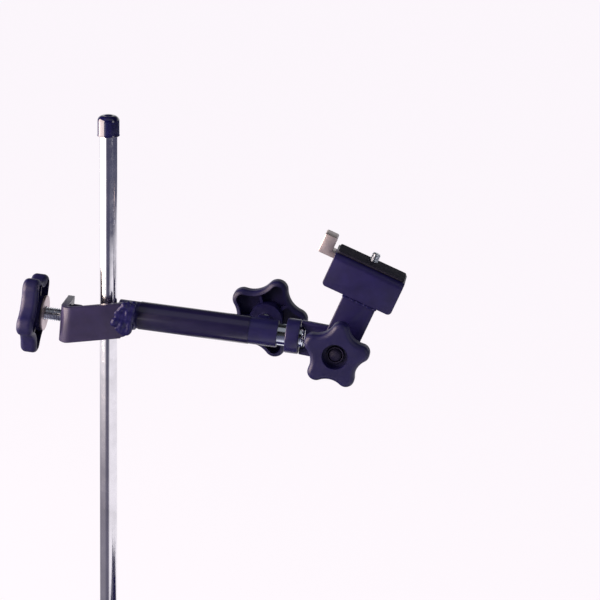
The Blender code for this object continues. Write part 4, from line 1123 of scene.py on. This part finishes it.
def backdrop_material():
    """Pale floor that reads white to the camera, and still takes a shadow.

    Reflections see it white behind the stand, and dark farther off in front.
    """
    made = surface("floor_paper", (0.9, 0.89, 0.9), 0.9, specular=0.1)
    nodes, links = made.node_tree.nodes, made.node_tree.links
    rays = new_node(made, "LightPath")
    seen = either(made, rays, "Is Camera Ray", "Is Glossy Ray", "Is Transmission Ray")
    share = math_node(made, "MULTIPLY", seen, PAPER_SHARE)
    glow = new_node(made, "Emission")
    links.new(blend_color(made, reflected_floor(made, rays), PAPER_DARK, PAPER_WHITE), glow.inputs["Color"])
    lit = nodes["Principled BSDF"].outputs["BSDF"]
    shown = mix_shader(made, share, lit, glow.outputs["Emission"])
    links.new(shown, nodes["Material Output"].inputs["Surface"])
    return made


def make_floor():
    bm = bmesh.new()
    bmesh.ops.create_grid(bm, x_segments=1, y_segments=1, size=20.0)
    floor = linked("floor", finished_mesh("floor", bm))
    floor.data.materials.append(backdrop_material())


def make_world():
    """Even studio light; reflections see a white sweep behind and a darker room in front."""
    world = bpy.data.worlds.new("studio")
    bpy.context.scene.world = world
    world.use_nodes = True
    nodes, links = world.node_tree.nodes, world.node_tree.links
    even = nodes["Background"]  # what lights the object
    even.inputs["Color"].default_value = (0.96, 0.95, 1.0, 1)
    even.inputs["Strength"].default_value = 0.28
    place = new_node(world, "TexCoord")
    axes = split_axes(world, place.outputs["Generated"])
    behind = ramp(world, axes["Y"], 0.30, 0.85, ROOM_DARK, 1.0)
    low = ramp(world, axes["Z"], 0.15, 0.50, 1.0, ROOM_DARK)
    room = new_node(world, "Background")  # what shows in reflections
    links.new(math_node(world, "MULTIPLY", behind, low), room.inputs["Strength"])
    white = new_node(world, "Background")  # what the camera sees
    white.inputs["Color"].default_value = (*PAPER_WHITE, 1)
    rays = new_node(world, "LightPath")
    reflected = mix_shader(world, rays.outputs["Is Glossy Ray"], even.outputs["Background"],
                           room.outputs["Background"])
    seen = either(world, rays, "Is Camera Ray", "Is Transmission Ray")
    shown = mix_shader(world, seen, reflected, white.outputs["Background"])
    links.new(shown, nodes["World Output"].inputs["Surface"])


def softbox(name, place, width, height, power, color):
    """An area lamp aimed at the arm."""
    lamp = bpy.data.lights.new(name, "AREA")
    lamp.shape = "RECTANGLE"
    lamp.size = width
    lamp.size_y = height
    lamp.energy = power
    lamp.color = color
    obj = linked(name, lamp)
    obj.location = place
    obj.rotation_euler = (VIEW_TARGET - Vector(place)).to_track_quat("-Z", "Y").to_euler()


def make_camera():
    a, e = VIEW_AZIMUTH, VIEW_ELEVATION
    back = Vector((sin(a) * cos(e), -cos(a) * cos(e), sin(e)))
    across = Vector((cos(a), sin(a), 0))
    up = across.cross(-back)
    rolled_across = across * cos(VIEW_ROLL) + up * sin(VIEW_ROLL)
    rolled_up = up * cos(VIEW_ROLL) - across * sin(VIEW_ROLL)
    camera = linked("camera", bpy.data.cameras.new("camera"))
    place = Matrix((rolled_across, rolled_up, back)).transposed().to_4x4()
    place.translation = VIEW_TARGET + back * VIEW_DISTANCE
    camera.matrix_world = place
    camera.data.sensor_width = SENSOR
    camera.data.lens = SENSOR / FRAME_PIXELS * VIEW_DISTANCE / METRES_PER_PIXEL
    camera.data.clip_end = 100
    bpy.context.scene.camera = camera


make_floor()
make_world()
softbox("left_box", (-0.85, -0.30, 0.50), width=1.15, height=0.8, power=29, color=(1.0, 0.80, 0.69))
softbox("right_box", (1.35, -0.75, 0.85), width=0.6, height=1.0, power=4, color=(1.0, 0.95, 0.93))
softbox("top_box", (0.05, -0.45, 1.45), width=1.8, height=1.0, power=1.5, color=(0.97, 0.97, 1.0))
make_camera()
bpy.context.scene.view_settings.view_transform = "Standard"
